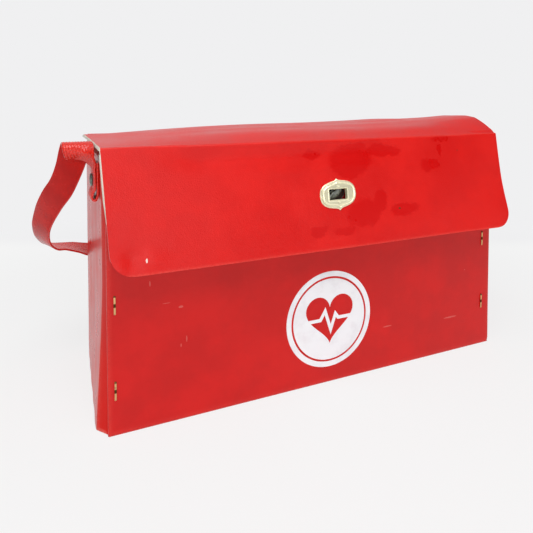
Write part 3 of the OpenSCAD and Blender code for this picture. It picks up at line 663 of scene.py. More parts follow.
def endSkin(side, name, node):
    foldTop = caseHeight - endPanel["dustFold"]
    heights = np.linspace(0.6, foldTop - 0.3, 70)
    rows = [roundedLine(endCorners(z), endPanel["foldRadius"], (5, 8, 60, 8, 5), 7) for z in heights]
    plan = np.stack(rows, 1)
    x, y = plan[..., 0], plan[..., 1]
    z = np.repeat(heights[None], len(plan), 0)
    fold = backFace - endPanel["foldInset"]
    withinWall = smoothStep(np.abs(y), fold + 1, fold - 7)
    wave = 0.5 + 0.3 * np.sin(y / 4.1 + 1.6 * np.sin(z / 31)) + 0.5 * ripples(y, z, 26, 4.0 + side)
    wave += 1.1 * bell(y, -46, 6) * bell(z, 9, 8) + 0.8 * bell(np.abs(y), fold, 5) * bell(z, 16, 9)
    x = x + endPanel["wallWave"] * wave * (0.25 + 0.75 * withinWall) * (x > halfWidth + 0.4)
    grid = np.stack([side * x, y, z], -1)
    normal = gridNormals(grid)
    normal *= np.sign(normal[len(normal) // 2, 10, 0] * side)
    steps = np.linalg.norm(np.diff(plan[:, 35], axis=0), axis=1)
    uv = np.stack([np.repeat(np.concatenate([[0], np.cumsum(steps)])[:, None], len(heights), 1), z], -1)
    # The pale foot is worn through to the white backing; the pale line along the fold is a painted highlight.
    wearAndSheen = np.maximum(0.9 * (1 - smoothStep(z, 0.6, 3.0)) * (x > halfWidth + 1),
                      0.25 * bell(np.abs(y), fold, 2.5) * (x > halfWidth))
    wall = sheet(name, grid, grid - normal * vinyl, uv, wearAndSheen, inside=1)
    for face in wall.data.polygons:
        if face.material_index == 0 and abs(face.center.y) > (fold + 0.4) * mm:
            face.material_index = 2          # the turned-in strips and flanges are duller

    slope, outerX = math.radians(endPanel["dustSlope"]), halfWidth + endPanel["bulge"]
    turn = np.linspace(0, np.pi / 2 + slope * 0.9, 8)
    # From the wall round the upper fold, then in under the lid
    bend = [(outerX - 1.2 + 1.2 * math.cos(a), foldTop - 0.3 + 1.2 * math.sin(a) * 0.8) for a in turn]
    run = [(bend[-1][0] - d * math.cos(slope), bend[-1][1] + d * math.sin(slope))
           for d in np.linspace(0, endPanel["dustFlap"] - 1.5, 14)[1:]]
    profile = np.array(bend + run)
    across = np.linspace(-fold + 1, fold - 1, 40)
    sag = 0.35 * ripples(np.repeat(across[None], len(profile), 0), np.repeat(profile[:, :1], 40, 1), 20, 7.0)
    flapGrid = np.stack([np.repeat(side * profile[:, :1], 40, 1), np.repeat(across[None], len(profile), 0),
                         np.repeat(profile[:, 1:], 40, 1) + sag], -1)
    up = gridNormals(flapGrid)
    up *= np.sign(up[-3, 20, 2])
    flapUv = np.stack([flapGrid[..., 1], np.abs(flapGrid[..., 0])], -1)
    dustFlap = sheet(name + "DustFlap", flapGrid, flapGrid - up * vinyl, flapUv, inside=1)
    for part in (wall, dustFlap):
        for material in (endRed, clothBack, gussetRed):
            part.data.materials.append(material)
    whole = joined(name, [wall, dustFlap])
    return finished(whole, "case", "vinyl_panel", [], node)


endSkin(-1, "leftEndSkin", "left_end_cover")
endSkin(1, "rightEndSkin", "right_end_cover")
print("body and end panels built")


# Small solids: rings of points joined one to the next, closed on themselves or capped at both ends

def loft(name, rings, closed=False, smoothAngle=35):
    rings = np.asarray(rings, float)
    k, n = rings.shape[:2]
    faces = []
    for i in range(k if closed else k - 1):
        a, b = i * n, (i + 1) % k * n
        faces += [[a + j, a + (j + 1) % n, b + (j + 1) % n, b + j] for j in range(n)]
    if not closed:
        faces += [list(range(n)), list(range((k - 1) * n, k * n))]
    return blankMesh(name, rings.reshape(-1, 3), faces, [0] * len(faces), smoothAngle)


def lathe(name, profile, place, sides=48):
    turn = np.linspace(0, 2 * np.pi, sides, endpoint=False)
    return loft(name, [place(r * np.cos(turn), r * np.sin(turn), h) for r, h in profile])


def slab(name, low, high, place):
    corners = [(high[0], high[1]), (low[0], high[1]), (low[0], low[1]), (high[0], low[1])]
    return loft(name, [place(np.array([a for a, _ in corners]), np.array([b for _, b in corners]), out)
                       for out in (low[2], high[2])])


# Places on the flap, on the lock and on an end wall: across, up and out
def onFlap(a, b, out):
    return flapPoint(clasp["x"] + a, clasp["drop"] - b, out)


def onLock(a, b, out):
    return np.stack(np.broadcast_arrays(lockPlace[0] + a, frontFace - out, lockPlace[2] + b), -1)


def onWall(side):
    return lambda a, b, out: np.stack(np.broadcast_arrays(side * (wallX + out), swing[1] + a, swing[2] + b), -1)


wallX = halfWidth + endPanel["bulge"]
swing = joints["strap_swing"]
lockPlace = joints["button_turn"]


# Hinge fold: the skin runs from the back panel round a welt into the lid, with a tail glued inside

hingeFold = {"radius": 1.3, "columns": 80, "tail": 12.0, "tailInset": 17.0, "soft": 0.12}


def buildHingeFold():
    turn = np.radians(np.linspace(-42, 118, 13))
    y0, z0 = hingeAxis[1], hingeAxis[2]
    outer = [(backFace + 0.02, caseHeight - 1.5), (backFace + 0.05, caseHeight - 0.2)]
    outer += [(y0 + hingeFold["radius"] * math.cos(a), z0 + hingeFold["radius"] * math.sin(a)) for a in turn]
    outer += [(lidHigh[1] - 0.1, flatZ + 0.02)]
    parts = []
    tail = [(backFace - vinyl - board - 0.5, caseHeight - hingeFold["tail"] + t) for t in np.linspace(0, 11.6, 8)]
    tail += [(tail[-1][0] + 0.2, caseHeight + 0.2), (y0 - 0.6, z0 - 0.5)]
    for path, reach, flip in ((outer, halfWidth, 1), (tail, halfWidth - hingeFold["tailInset"], -1)):
        x = np.linspace(-reach, reach, hingeFold["columns"])
        path = np.array(path)
        grid = np.stack(np.broadcast_arrays(x[:, None], path[None, :, 0], path[None, :, 1]), -1).copy()
        grid[..., 1] += hingeFold["soft"] * ripples(grid[..., 0], grid[..., 2], 9, 21.0) * (grid[..., 2] > caseHeight)
        normal = gridNormals(grid)
        normal *= np.sign(normal[5, 1, 1] * flip)
        parts.append(sheet("hinge", grid, grid - normal * vinyl * 0.9, arcUv(grid), inside=1))
        for material in (wrappedEdge, clothBack):
            parts[-1].data.materials.append(material)
    fold = finished(joined("hingeFold", parts), None, "vinyl_panel", [], "lid_hinge_strip")
    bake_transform(fold)


buildHingeFold()


# Clasp plate on the flap: an oval with a small point above and below, a rolled rim and a flanged slot

claspFace = {
    "square": 2.5,               # 2 is a plain ellipse, more is squarer
    "lean": 4.0,                 # degrees that the outline leans to the left
    "pointWidth": 1.7, "halfHeight": 10.1, "rimFoot": 0.25, "rimHeight": 0.95, "groove": 0.45,
    "plateau": 0.12, "lip": 0.2,             # lip is the slot's raised edge
    "pip": 0.5,                  # depth of the two small hollows above and below the slot
    "slotInset": 0.3, "flange": 2.2, "rings": 30, "sides": 360,
}
creamBrass = plated("brassLacquered", {
    "colour": "#f6f1cd", "tarnish": "#a9a46c", "patch": 0.006, "from": 0.58, "to": 0.8, "amount": 0.35,
    "rough": 0.3, "metallic": 0.5})          # an old yellowed lacquer hides half of the metal's mirror
zincSteel = plated("steelZincPlated", {
    "colour": "#8f928c", "tarnish": "#3f423c", "patch": 0.004, "from": 0.4, "to": 0.7, "amount": 0.9, "rough": 0.34})
rivetSteel = plated("steelBlackened", {
    "colour": "#8b968c", "tarnish": "#4c554d", "patch": 0.003, "from": 0.35, "to": 0.65, "amount": 0.9, "rough": 0.33})


def claspOutline():
    a = np.linspace(0, 2 * np.pi, claspFace["sides"], endpoint=False)
    power = 2 / claspFace["square"]
    x = clasp["width"] / 2 * np.sign(np.cos(a)) * np.abs(np.cos(a)) ** power
    y = claspFace["halfHeight"] * np.sign(np.sin(a)) * np.abs(np.sin(a)) ** power
    y = y + np.sign(np.sin(a)) * clasp["cusp"] * np.exp(-np.abs(x) / claspFace["pointWidth"])
    lean = math.radians(claspFace["lean"])
    return np.stack([x * math.cos(lean) - y * math.sin(lean), x * math.sin(lean) + y * math.cos(lean)], -1)


def slotEdge(outline, grow):
    halfX, halfY = clasp["slotWidth"] / 2 + grow, clasp["slotHeight"] / 2 + grow
    direction = outline / np.linalg.norm(outline, axis=1, keepdims=True)
    share = np.maximum(np.abs(direction), 1e-6)
    return direction * np.minimum(halfX / share[:, 0], halfY / share[:, 1])[:, None]


def claspHeight(points, outline):
    fromRim = np.min(np.linalg.norm(points[:, None] - outline[None, ::2], axis=2), axis=1)
    inset = claspFace["slotInset"]
    slotHalf = (clasp["slotWidth"] / 2 - inset, clasp["slotHeight"] / 2 - inset)
    beside = np.maximum(np.abs(points) - slotHalf, 0)
    fromSlot = np.hypot(beside[:, 0], beside[:, 1])
    foot = claspFace["rimFoot"]
    height = foot + (claspFace["rimHeight"] - foot) * smoothStep(fromRim, -0.1, 0.6)
    height -= claspFace["groove"] * bell(fromRim, 2.0, 0.5)
    height += claspFace["plateau"] * smoothStep(fromRim, 2.3, 3.2)
    height += claspFace["lip"] * bell(fromSlot, 0.6, 0.4) - 0.3 * (1 - smoothStep(fromSlot, 0, 0.35))
    pipAt = clasp["slotHeight"] / 2 + 1.7
    height -= claspFace["pip"] * bell(points[:, 0], 0, 0.9) * bell(np.abs(points[:, 1]), pipAt, 0.35)
    return height


def buildClasp():
    outline = claspOutline()
    inner = slotEdge(outline, -claspFace["slotInset"])
    outerWall = slotEdge(outline, -0.05)
    rings = [onFlap(outline[:, 0], outline[:, 1], 0.0)]
    for t in 0.5 - 0.5 * np.cos(np.pi * np.linspace(0, 1, claspFace["rings"])):
        ring = outline * (1 - t) + inner * t
        rings.append(onFlap(ring[:, 0], ring[:, 1], claspHeight(ring, outline)))
    rings += [onFlap(inner[:, 0], inner[:, 1], -claspFace["flange"]),
              onFlap(outerWall[:, 0], outerWall[:, 1], -claspFace["flange"]),
              onFlap(outerWall[:, 0], outerWall[:, 1], 0.0)]
    parts = [loft("claspPlate", rings, closed=True)]
    reach = vinyl + board + 0.5
    for side in (-1, 1):
        at = side * (clasp["slotWidth"] / 2 + 3.6)
        parts.append(slab("prong", (at - 0.3, -1.5, -reach - 0.2), (at + 0.3, 1.5, 0.1), onFlap))
        near, far = (at - 0.3, at + 2.2) if side < 0 else (at - 2.2, at + 0.3)
        parts.append(slab("prongTab", (near, -1.5, -reach - 0.42), (far, 1.5, -reach - 0.02), onFlap))
    finished(joined("claspPlate", parts), "flap", "brass_plate", [creamBrass], "clasp_plate")


buildClasp()


# Turn lock on the front panel: a dished base with a boss, and a button that turns on its stem

turnLock = {
    "baseWidth": 22.0, "baseHeight": 15.0, "boss": 3.7, "bossTop": 3.1, "bore": 1.58,
    "buttonLength": 14.0, "buttonWidth": 5.0, "buttonUnder": 3.4, "tilt": 40.0, "stem": 1.5,
    "washer": 0.8,               # of the washer behind the front panel
}


def buildLock():
    turn = np.linspace(0, 2 * np.pi, 72, endpoint=False)
    circle = np.stack([np.cos(turn), np.sin(turn)], -1)
    oval = circle * (turnLock["baseWidth"] / 2, turnLock["baseHeight"] / 2)
    boss, top, bore = turnLock["boss"], turnLock["bossTop"], turnLock["bore"]
    flats = [(circle * bore, 0.0), (circle * bore, top - 0.15), (circle * (bore + 0.2), top),
             (circle * (boss - 0.35), top), (circle * boss, top - 0.3), (circle * boss, 1.3),
             (circle * (boss + 0.5), 0.85), (oval * 0.82, 0.85), (oval * 0.94, 0.74), (oval * 0.99, 0.45),
             (oval, 0.2), (oval, 0.0)]
    parts = [loft("lockBase", [onLock(ring[:, 0], ring[:, 1], out) for ring, out in flats], closed=True)]
    washer = turnLock["washer"]
    reach = vinyl + board + washer
    for side in (-1, 1):
        at = side * turnLock["baseWidth"] * 0.36
        parts.append(slab("lockProng", (at - 0.3, -1.5, -reach - 0.2), (at + 0.3, 1.5, 0.1), onLock))
        parts.append(slab("lockTab", (at - 1.2, -1.5, -reach - 0.42), (at + 1.2, 1.5, -reach - 0.02), onLock))
    finished(joined("lockBase", parts), "case", "steel_plate", [zincSteel], "lock_base")

    half = (turnLock["buttonLength"] - turnLock["buttonWidth"]) / 2
    endRadius, tilt = turnLock["buttonWidth"] / 2, math.radians(turnLock["tilt"])
    rings = []
    for inset, out in ((0.35, 0), (0, 0.25), (0, 0.95), (0.2, 1.2), (0.55, 1.34), (1.2, 1.42), (2.1, 1.46)):
        ring = circle * (endRadius - inset) + np.stack([np.sign(circle[:, 0]) * half, 0 * turn], -1)
        x = ring[:, 0] * math.cos(tilt) - ring[:, 1] * math.sin(tilt)
        y = ring[:, 0] * math.sin(tilt) + ring[:, 1] * math.cos(tilt)
        rings.append(onLock(x, y, turnLock["buttonUnder"] + out))
    stem, foot = turnLock["stem"], -vinyl - board - washer - 0.3
    shaft = [(0.4, foot - 0.8), (stem + 0.8, foot - 0.8), (stem + 1, foot - 0.6), (stem + 1, foot), (stem, foot),
             (stem, turnLock["buttonUnder"] + 0.7)]
    parts = [loft("turnButton", rings), lathe("buttonStem", shaft, onLock, 32)]
    finished(joined("turnButton", parts), "button", "steel_plate", [zincSteel], "turn_button")


buildLock()


# Strap rivets: a domed head outside the two plies, a shank, and a flange inside the end panel

strapRivet = {"shank": 2.0, "head": 4.5, "headUnder": 4.1, "headHeight": 1.5, "flange": 3.0, "inside": 2.6}


def buildRivets():
    shank, head, under = strapRivet["shank"], strapRivet["head"], strapRivet["headUnder"]
    rise = strapRivet["headHeight"]
    inside = -strapRivet["inside"]
    flange = strapRivet["flange"]
    profile = [(0.5, inside - 0.75), (flange - 0.4, inside - 0.8), (flange, inside - 0.5), (flange, inside),
               (shank, inside), (shank, under), (head - 0.25, under), (head, under + 0.2),
               (head - 0.05, under + 0.42)]
    profile += [(head * math.cos(a), under + 0.4 + (rise - 0.4) * math.sin(a))
                for a in np.radians([22, 38, 52, 65, 77, 86])]
    for side, word in ((-1, "left"), (1, "right")):
        rivet = lathe(word + "StrapRivet", profile, onWall(side))
        finished(rivet, "case", "steel_plate", [rivetSteel], word + "_strap_rivet")


buildRivets()
print("hinge fold, clasp, lock and rivets built")


# Staples: one wire bent by Geometry Nodes and set at twelve points of the front and back panels

stapleWire = {
    "Length": 12.7, "Width": 1.3, "Thickness": 0.6, "Depth": 4.6, "Clinch": 5.08, "Bend": 0.55,
    "turn": 1.6, "seed": 11, "perRow": 3,    # turn is how far each may lean, in degrees
    "nodes": ["staples_front_left", "staples_front_right", "staples_back_left", "staples_back_right"],
}
brassWire = plated("steelWireBrassed", {
    "colour": "#dcb27c", "tarnish": "#54401f", "patch": 0.003, "from": 0.55, "to": 0.75, "amount": 0.6,
    "rough": 0.28, "band": 0.2})             # the wire is darker in a band at the middle


def stapleTree():
    tree = bpy.data.node_groups.new("bentStaples", "GeometryNodeTree")
    kinds = {"Geometry": "Geometry", "Turn": "Float", "Seed": "Int", "Wire": "Material"}
    kinds.update({name: "Float" for name in stapleWire if name[0].isupper()})
    sockets = {name: tree.interface.new_socket(name, in_out="INPUT", socket_type="NodeSocket" + kind).identifier
               for name, kind in kinds.items()}
    tree.interface.new_socket("Geometry", in_out="OUTPUT", socket_type="NodeSocketGeometry")
    given = addNode(tree, "NodeGroupInput").outputs
    # Six points: the two clinched ends, the two corners inside and the two corners of the crown
    line = addNode(tree, "GeometryNodeMeshLine", {"Count": 6})
    place = math2(tree, "SUBTRACT", addNode(tree, "GeometryNodeInputIndex").outputs[0], 2.5)
    away = math2(tree, "ABSOLUTE", place, 0.0)
    half = math2(tree, "MULTIPLY", math2(tree, "SUBTRACT", given["Length"], given["Thickness"]), 0.5)
    fold = math2(tree, "MULTIPLY", math2(tree, "GREATER_THAN", away, 2.0), given["Clinch"])
    z = math2(tree, "MULTIPLY", math2(tree, "SIGN", place, 0.0), math2(tree, "SUBTRACT", half, fold))
    sunk = math2(tree, "MULTIPLY", math2(tree, "GREATER_THAN", away, 1.0), given["Depth"])
    y = math2(tree, "SUBTRACT", sunk, math2(tree, "MULTIPLY", given["Thickness"], 0.5))
    spot = addNode(tree, "ShaderNodeCombineXYZ", {"Y": y, "Z": z}).outputs[0]
    bent = addNode(tree, "GeometryNodeSetPosition", {"Geometry": line.outputs[0], "Position": spot}).outputs[0]
    curve = addNode(tree, "GeometryNodeMeshToCurve", {"Mesh": bent}).outputs[0]
    path = addNode(tree, "GeometryNodeFilletCurve", {"Curve": curve, "Count": 4, "Radius": given["Bend"]}, mode="POLY")
    flat = addNode(tree, "GeometryNodeCurvePrimitiveQuadrilateral", {"Width": given["Width"],
                                                                     "Height": given["Thickness"]})
    rounded = addNode(tree, "GeometryNodeFilletCurve", {"Curve": flat.outputs[0], "Count": 2, "Radius": 0.00016},
                      mode="POLY")
    wire = addNode(tree, "GeometryNodeCurveToMesh", {"Curve": path.outputs[0], "Profile Curve": rounded.outputs[0],
                                                     "Fill Caps": True}).outputs[0]
    # Share of the half length, from the foot at -1 to the top at 1, for the tarnish
    spots = addNode(tree, "GeometryNodeInputPosition").outputs[0]
    along = math2(tree, "DIVIDE", addNode(tree, "ShaderNodeSeparateXYZ", {0: spots}).outputs["Z"], half)
    marked = addNode(tree, "GeometryNodeStoreNamedAttribute", {"Geometry": wire, "Name": "along", "Value": along},
                     data_type="FLOAT", domain="POINT").outputs[0]
    facing = addNode(tree, "GeometryNodeInputNamedAttribute", {"Name": "facing"},
                     data_type="FLOAT").outputs["Attribute"]
    least = math2(tree, "MULTIPLY", given["Turn"], -1.0)
    lean = addNode(tree, "FunctionNodeRandomValue", {2: least, 3: given["Turn"], "Seed": given["Seed"]},
                   data_type="FLOAT").outputs[1]
    aim = addNode(tree, "ShaderNodeCombineXYZ", {"Y": lean, "Z": facing}).outputs[0]
    placed = addNode(tree, "GeometryNodeInstanceOnPoints", {"Points": given["Geometry"], "Instance": marked,
                                                            "Rotation": aim}).outputs[0]
    real = addNode(tree, "GeometryNodeRealizeInstances", {"Geometry": placed}).outputs[0]
    dressed = addNode(tree, "GeometryNodeSetMaterial", {"Geometry": real, "Material": given["Wire"]}).outputs[0]
    addNode(tree, "NodeGroupOutput", {"Geometry": dressed})
    return tree, sockets


def buildStaples():
    points, facing = [], []
    for name in stapleWire["nodes"]:
        low, high = nodeBox(name)
        back = low[1] > 0
        half = stapleWire["Length"] / 2
        for z in np.linspace(low[2] + half, high[2] - half, stapleWire["perRow"]):
            points.append(((low[0] + high[0]) / 2 * mm, (backFace if back else frontFace) * mm, z * mm))
            facing.append(math.pi if back else 0.0)
    mesh = bpy.data.meshes.new("staples")
    mesh.from_pydata(points, [], [])
    mesh.attributes.new("facing", "FLOAT", "POINT").data.foreach_set("value", facing)
    obj = bpy.data.objects.new("staples", mesh)
    bpy.context.scene.collection.objects.link(obj)
    tree, sockets = stapleTree()
    modifier = obj.modifiers.new("bentStaples", "NODES")
    modifier.node_group = tree
    for name in stapleWire:
        if name[0].isupper():
            modifier[sockets[name]] = stapleWire[name] * mm
    modifier[sockets["Turn"]] = math.radians(stapleWire["turn"])
    modifier[sockets["Seed"]] = stapleWire["seed"]
    modifier[sockets["Wire"]] = brassWire
    bake(obj)
    finished(obj, "case", "brass_wire", [], *stapleWire["nodes"])


buildStaples()
print("staples built")


# Strap: one ribbon of extruded PVC, ribbed outside, smooth inside, folded back under each rivet

strapPiece = {
    "width": 20.0, "thickness": 1.6, "bow": 37.0, "back": 26.0, "low": 73.0,
    "ply": 1.1, "outerPly": 3.0, "ribs": 10, "ribDepth": 0.42, "border": 0.6, "steps": 7, "hole": 2.1,
}
# Loop and arch at the rivet: outward from the end wall, back and up from the rivet, then the width's direction
ply, outerPly = strapPiece["ply"], strapPiece["outerPly"]
loopStations = [
    (ply, 0, 12, 0, 1, 0), (ply, 0, 2, 0, 1, 0), (ply, 0, -7, 0, 1, 0), (ply + 0.2, 0, -10, 0, 1, 0),
    (ply + 1.2, 0, -12.6, 0, 1, 0), (ply + 2.8, 0, -12.8, 0, 1, 0), (ply + 3.9, 0, -11, 0, 1, 0),
    (outerPly + 1.4, 0, -8.2, 0, 1, 0), (outerPly + 0.3, 0, -6, 0, 1, 0), (outerPly, 0, -4, 0, 1, 0),
    (outerPly, 0, 0, 0, 1, 0), (outerPly, 0, 4, 0, 1, 0), (outerPly + 0.6, 0, 8, 0.05, 1, 0.05),
    (5.5, -0.5, 12, 0.35, 0.93, 0.1), (9, -2, 15.5, 0.75, 0.65, 0.1), (11.8, -3.5, 19, 1, 0.2, 0),
    (13, -2, 23.5, 1, 0, 0), (13.2, 2.5, 25.5, 1, 0, 0), (13.5, 7.5, 24, 1, 0.05, 0), (15, 12.5, 17, 0.95, 0.3, 0),
    (18, 20, 5, 0.8, 0.6, 0),
]
# Bow beside the case: shares of the bow, of the way back and of the way down
bowStations = [
    (0.61, 0.29, 0.09, 0.72, 0.7, 0), (0.77, 0.4, 0.21, 0.66, 0.75, 0), (0.92, 0.54, 0.36, 0.57, 0.82, 0),
    (0.99, 0.65, 0.5, 0.5, 0.87, 0), (0.95, 0.75, 0.62, 0.42, 0.9, 0), (0.81, 0.85, 0.71, 0.36, 0.93, 0),
    (0.6, 0.95, 0.76, 0.35, 0.93, 0.03),
]


def strapStations():
    bow, back, low = strapPiece["bow"], strapPiece["back"], strapPiece["low"]
    half = [((wallX + a, swing[1] + b, swing[2] + c), w) for a, b, c, *w in loopStations]
    half += [((wallX + bow * a, swing[1] + (backFace - swing[1]) * b, swing[2] + (low - swing[2]) * c), w)
             for a, b, c, *w in bowStations]
    half += [((wallX + bow * 0.27, backFace + back * 0.23, low + 17), (0.2, 0.95, 0.15)),
             ((wallX - 2, backFace + back * 0.54, low + 12), (0.05, 0.95, 0.28)),
             ((wallX - 24, backFace + back - 6, low + 7), (0, 0.9, 0.35)),
             ((wallX * 0.6, backFace + back - 1.5, low + 2), (0, 0.9, 0.4)),
             ((wallX * 0.3, backFace + back, low + 0.5), (0, 0.9, 0.44))]
    flip = np.array([-1, 1, 1])
    right = [(np.array(p, float), np.array(w, float)) for p, w in half]
    left = [(p * flip, w * flip) for p, w in reversed(right)]
    return right + [(np.array([0, backFace + back, low]), np.array([0, 0.9, 0.44]))] + left


def catmullRom(values, steps):
    values = np.array([2 * values[0] - values[1], *values, 2 * values[-1] - values[-2]])
    t = np.linspace(0, 1, steps, endpoint=False)[:, None]
    rows = [0.5 * (2 * b + (c - a) * t + (2 * a - 5 * b + 4 * c - d) * t ** 2 + (3 * b - a - 3 * c + d) * t ** 3)
            for a, b, c, d in zip(values, values[1:], values[2:], values[3:])]
    return np.concatenate(rows + [values[-2][None]])


# Round the strap's section: the smooth face, an edge, the ribbed face, the other edge
def strapSection():
    half, thick, border = strapPiece["width"] / 2, strapPiece["thickness"] / 2, strapPiece["border"]
    pitch = (2 * half - 2 * border) / strapPiece["ribs"]
    smooth = [(s, thick) for s in np.linspace(-half + 0.5, half - 0.5, 7)]
    turn = np.radians([25, 60, 90])
    edge = [(half - 0.5 + 0.5 * math.sin(a), thick - 0.5 + 0.5 * math.cos(a)) for a in turn]
    edge += [(half, -thick + 0.6), (half - 0.2, -thick + 0.15), (half - border + 0.1, -thick + strapPiece["ribDepth"])]
    ribs = []
    # Six points for each rib
    for share in np.linspace(0, strapPiece["ribs"], strapPiece["ribs"] * 6 + 1)[:-1] + 1 / 12:
        bump = max(math.sin(math.pi * (share % 1)), 0) ** 0.6
        ribs.append((half - border - share * pitch, -thick + strapPiece["ribDepth"] * (1 - bump)))
    other = [(-s, n) for s, n in reversed(edge)]
    kinds = [1] * len(smooth) + [0] * (len(edge) + len(ribs) + len(other))
    return np.array(smooth + edge + ribs + other), kinds


def strapPvc(name, look):
    material, tree, shader = principled(name, {"IOR": 1.53, "Specular IOR Level": look["gloss"]})
    uv = addNode(tree, "ShaderNodeTexCoord").outputs["UV"]
    cloud = addNode(tree, "ShaderNodeTexNoise", {"Vector": uv, "Scale": 1 / 0.02, "Detail": 4.0, "Roughness": 0.6})
    fine = addNode(tree, "ShaderNodeTexNoise", {"Vector": uv, "Scale": 1 / 0.0012, "Detail": 3.0, "Roughness": 0.6})
    clouded = remap(tree, cloud.outputs["Fac"], 0.35, 0.65)
    colour = mixColour(tree, clouded, linear(look["deep"]), linear(look["colour"]))
    height = math2(tree, "MULTIPLY", fine.outputs["Fac"], look["fine"])
    if "bead" in look:
        axes = addNode(tree, "ShaderNodeSeparateXYZ", {0: uv}).outputs
        rib = math2(tree, "FLOOR", math2(tree, "DIVIDE", axes["X"], look["rib"] * mm), 0.0)
        odd = math2(tree, "MULTIPLY", math2(tree, "PINGPONG", rib, 1.0), 0.5)
        turn = math2(tree, "ADD", math2(tree, "DIVIDE", axes["Y"], look["bead"] * mm), odd)
        bead = remap(tree, math2(tree, "PINGPONG", turn, 0.5), 0.03, 0.3)
        # The grooves between the beads are painted darker as shade.
        colour = mixColour(tree, remap(tree, bead, 0.0, 0.6, 0.6, 0.0), colour, linear(look["groove"]))
        height = math2(tree, "ADD", height, bead)
    tree.links.new(colour, shader.inputs["Base Color"])
    tree.links.new(remap(tree, cloud.outputs["Fac"], 0.3, 0.7, look["rough"] - 0.04, look["rough"] + 0.06),
                   shader.inputs["Roughness"])
    bump = addNode(tree, "ShaderNodeBump", {"Height": height, "Strength": look["bump"], "Distance": look["depth"]})
    tree.links.new(bump.outputs[0], shader.inputs["Normal"])
    return material


# Extruded PVC: the ribbed face is embossed in beads with painted shade in the grooves, the inside is glossy from the
# die
ribbedPvc = strapPvc("pvcExtrudedRibbed", {
    "colour": "#e02a18", "deep": "#d61c0d", "groove": "#b81407", "gloss": 0.5, "rough": 0.28, "fine": 0.25,
    "rib": 1.88, "bead": 2.4, "bump": 0.35, "depth": 0.00015})
glossyPvc = strapPvc("pvcExtrudedSmooth", {
    "colour": "#cc1206", "deep": "#ba0b03", "gloss": 0.15, "rough": 0.25, "fine": 0.6, "bump": 0.12,
    "depth": 0.00008})


def buildStrap():
    stations = strapStations()
    points = catmullRom([p for p, _ in stations], strapPiece["steps"])
    widths = catmullRom([w for _, w in stations], strapPiece["steps"])
    along = np.gradient(points, axis=0)
    along /= np.linalg.norm(along, axis=1, keepdims=True)
    across = widths - np.sum(widths * along, axis=1, keepdims=True) * along
    across /= np.linalg.norm(across, axis=1, keepdims=True)
    normal = np.cross(along, across)
    section, kinds = strapSection()
    rings = points[:, None] + section[None, :, :1] * across[:, None] + section[None, :, 1:] * normal[:, None]
    k, n = rings.shape[:2]
    faces, faceKinds = [list(range(n)), list(range((k - 1) * n, k * n))], [0, 0]
    for i in range(k - 1):
        for j in range(n):
            after = (j + 1) % n
            faces.append([i * n + j, i * n + after, (i + 1) * n + after, (i + 1) * n + j])
            faceKinds.append(kinds[j])
    strap = blankMesh("carryStrap", rings.reshape(-1, 3), faces, faceKinds, 50)
    run = np.concatenate([[0], np.cumsum(np.linalg.norm(np.diff(points, axis=0), axis=1))])
    fromBorder = strapPiece["width"] / 2 - strapPiece["border"] - section[None, :, 0]
    uv = np.stack(np.broadcast_arrays(fromBorder, run[:, None]), -1)
    setUv(strap, uv.reshape(-1, 2))
    for side in (-1, 1):
        cutter = lathe("rivetHole", [(strapPiece["hole"], -0.4), (strapPiece["hole"], 6.0)], onWall(side), 32)
        modifier = strap.modifiers.new("hole", "BOOLEAN")
        modifier.operation, modifier.solver, modifier.object = "DIFFERENCE", "EXACT", cutter
        bake(strap)
        bpy.data.objects.remove(cutter)
    finished(strap, "strap", "vinyl_strap", [ribbedPvc, glossyPvc], "strap")
    print("strap built,", round(float(run[-1])), "mm long")


buildStrap()


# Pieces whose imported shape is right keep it, and get the finish

def dress(material, *names):
    for name in names:
        for slot in frame["nodes"][name].material_slots:
            slot.material = material


dress(lining, "front_board", "back_board", "bottom_board", "left_end_board", "right_end_board")
dress(zincSteel, "clasp_backing", "lock_washer", "strap_washers")
dress(screenInk("inkScreenPrinted"), "roundel_print")
print("packed pieces finished")


# Camera, floor, backdrop and studio light

studio = {
    "lens": 34.946, "shift": -0.28, "place": (-0.20508, -0.40969, 0.22291), "pitch": -2.254, "turn": -23.748,
    "wall": "#f0f0f1", "floorNear": "#f8f8f8", "floorMid": "#f5f5f5",
    "wallLine": 0.32,            # where table meets wall, metres from the middle along the camera's direction
    "fill": 0.84,                # how much of the table's own tone is seen whatever light falls on it
    "level": 0.27, "room": 0.06,  # the even light of the studio, and what a mirror sees of the room in front
    # Name, place, target, size in metres, watts
    "softboxes": [("topLight", (-0.3, -0.7, 1.6), (0, 0, 0.1), (1.0, 1.0), 19),
                  ("frontLight", (-0.28, -1.45, 0.38), (0, 0, 0.12), (0.75, 0.7), 5.5)],
}


def seenByEye(tree):
    rays = addNode(tree, "ShaderNodeLightPath").outputs
    seen = math2(tree, "MAXIMUM", rays["Is Camera Ray"], rays["Is Glossy Ray"])
    return math2(tree, "MAXIMUM", seen, rays["Is Transmission Ray"])


def buildCamera():
    camera = bpy.data.cameras.new("camera")
    camera.lens, camera.sensor_width = studio["lens"], 36
    camera.shift_y = studio["shift"]
    obj = bpy.data.objects.new("camera", camera)
    obj.location = studio["place"]
    obj.rotation_euler = (math.radians(90 + studio["pitch"]), 0, math.radians(studio["turn"]))
    bpy.context.scene.collection.objects.link(obj)
    bpy.context.scene.camera = obj


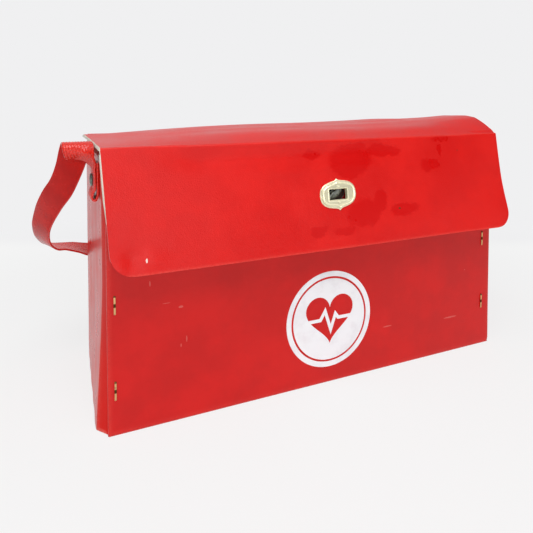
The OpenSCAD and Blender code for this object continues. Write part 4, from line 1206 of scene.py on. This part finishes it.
# The eye sees an even pale wall. Mirror rays see it behind the case, and a dim room in front of it.
def buildWorld():
    world = bpy.data.worlds.new("studio")
    bpy.context.scene.world = world
    world.use_nodes = True
    tree = world.node_tree
    shader = tree.nodes["Background"]
    ray = addNode(tree, "ShaderNodeTexCoord").outputs["Generated"]
    aim = addNode(tree, "ShaderNodeSeparateXYZ", {0: ray}).outputs
    behind = remap(tree, aim["Y"], 0.3, 0.75)
    above = remap(tree, aim["Z"], 0.3, 0.75, 0.0, 0.7)
    room = (studio["room"], studio["room"], studio["room"], 1)
    mirrored = mixColour(tree, math2(tree, "MAXIMUM", behind, above), room, linear(studio["wall"]))
    rays = addNode(tree, "ShaderNodeLightPath").outputs
    level = studio["level"]
    colour = mixColour(tree, rays["Is Glossy Ray"], (level, level, level * 1.01, 1), mirrored)
    eye = math2(tree, "MAXIMUM", rays["Is Camera Ray"], rays["Is Transmission Ray"])
    tree.links.new(mixColour(tree, eye, colour, linear(studio["wall"])), shader.inputs["Color"])


# Lacquered shooting table: it fades to the wall's tone at the back and keeps a soft shadow
def buildFloor():
    material = bpy.data.materials.new("shootingTable")
    material.use_nodes = True
    tree = material.node_tree
    tree.nodes.remove(tree.nodes["Principled BSDF"])
    place = addNode(tree, "ShaderNodeTexCoord").outputs["Object"]
    turn = math.radians(-studio["turn"])
    ahead = addNode(tree, "ShaderNodeVectorMath", {0: place, 1: (math.sin(turn), math.cos(turn), 0)},
                    operation="DOT_PRODUCT")
    depth = ahead.outputs["Value"]
    line = studio["wallLine"]
    toMid = remap(tree, depth, -0.5, line - 0.1)
    tone = mixColour(tree, toMid, linear(studio["floorNear"]), linear(studio["floorMid"]))
    tone = mixColour(tree, remap(tree, depth, line - 0.03, line + 0.04), tone, linear(studio["wall"]))
    far = addNode(tree, "ShaderNodeVectorMath", {0: place}, operation="LENGTH").outputs["Value"]
    matt = addNode(tree, "ShaderNodeBsdfDiffuse", {"Color": tone})
    glow = addNode(tree, "ShaderNodeEmission", {"Color": tone})
    share = math2(tree, "MULTIPLY", seenByEye(tree), remap(tree, far, 0.25, 0.6, studio["fill"], 1.0))
    mixed = addNode(tree, "ShaderNodeMixShader", {0: share, 1: matt.outputs[0], 2: glow.outputs[0]})
    tree.links.new(mixed.outputs[0], tree.nodes["Material Output"].inputs["Surface"])
    mesh = bpy.data.meshes.new("floor")
    mesh.from_pydata([(-9, -9, 0), (9, -9, 0), (9, 9, 0), (-9, 9, 0)], [], [(0, 1, 2, 3)])
    floor = bpy.data.objects.new("floor", mesh)
    bpy.context.scene.collection.objects.link(floor)
    floor.data.materials.append(material)


def softbox(name, place, target, size, watts):
    light = bpy.data.lights.new(name, "AREA")
    light.shape, light.size, light.size_y, light.energy = "RECTANGLE", size[0], size[1], watts
    obj = bpy.data.objects.new(name, light)
    obj.location = place
    obj.rotation_euler = (Vector(target) - Vector(place)).to_track_quat("-Z", "Y").to_euler()
    bpy.context.scene.collection.objects.link(obj)


bpy.context.scene.view_settings.view_transform = "Standard"
buildCamera()
buildWorld()
buildFloor()
for box in studio["softboxes"]:
    softbox(*box)
print("stage set")
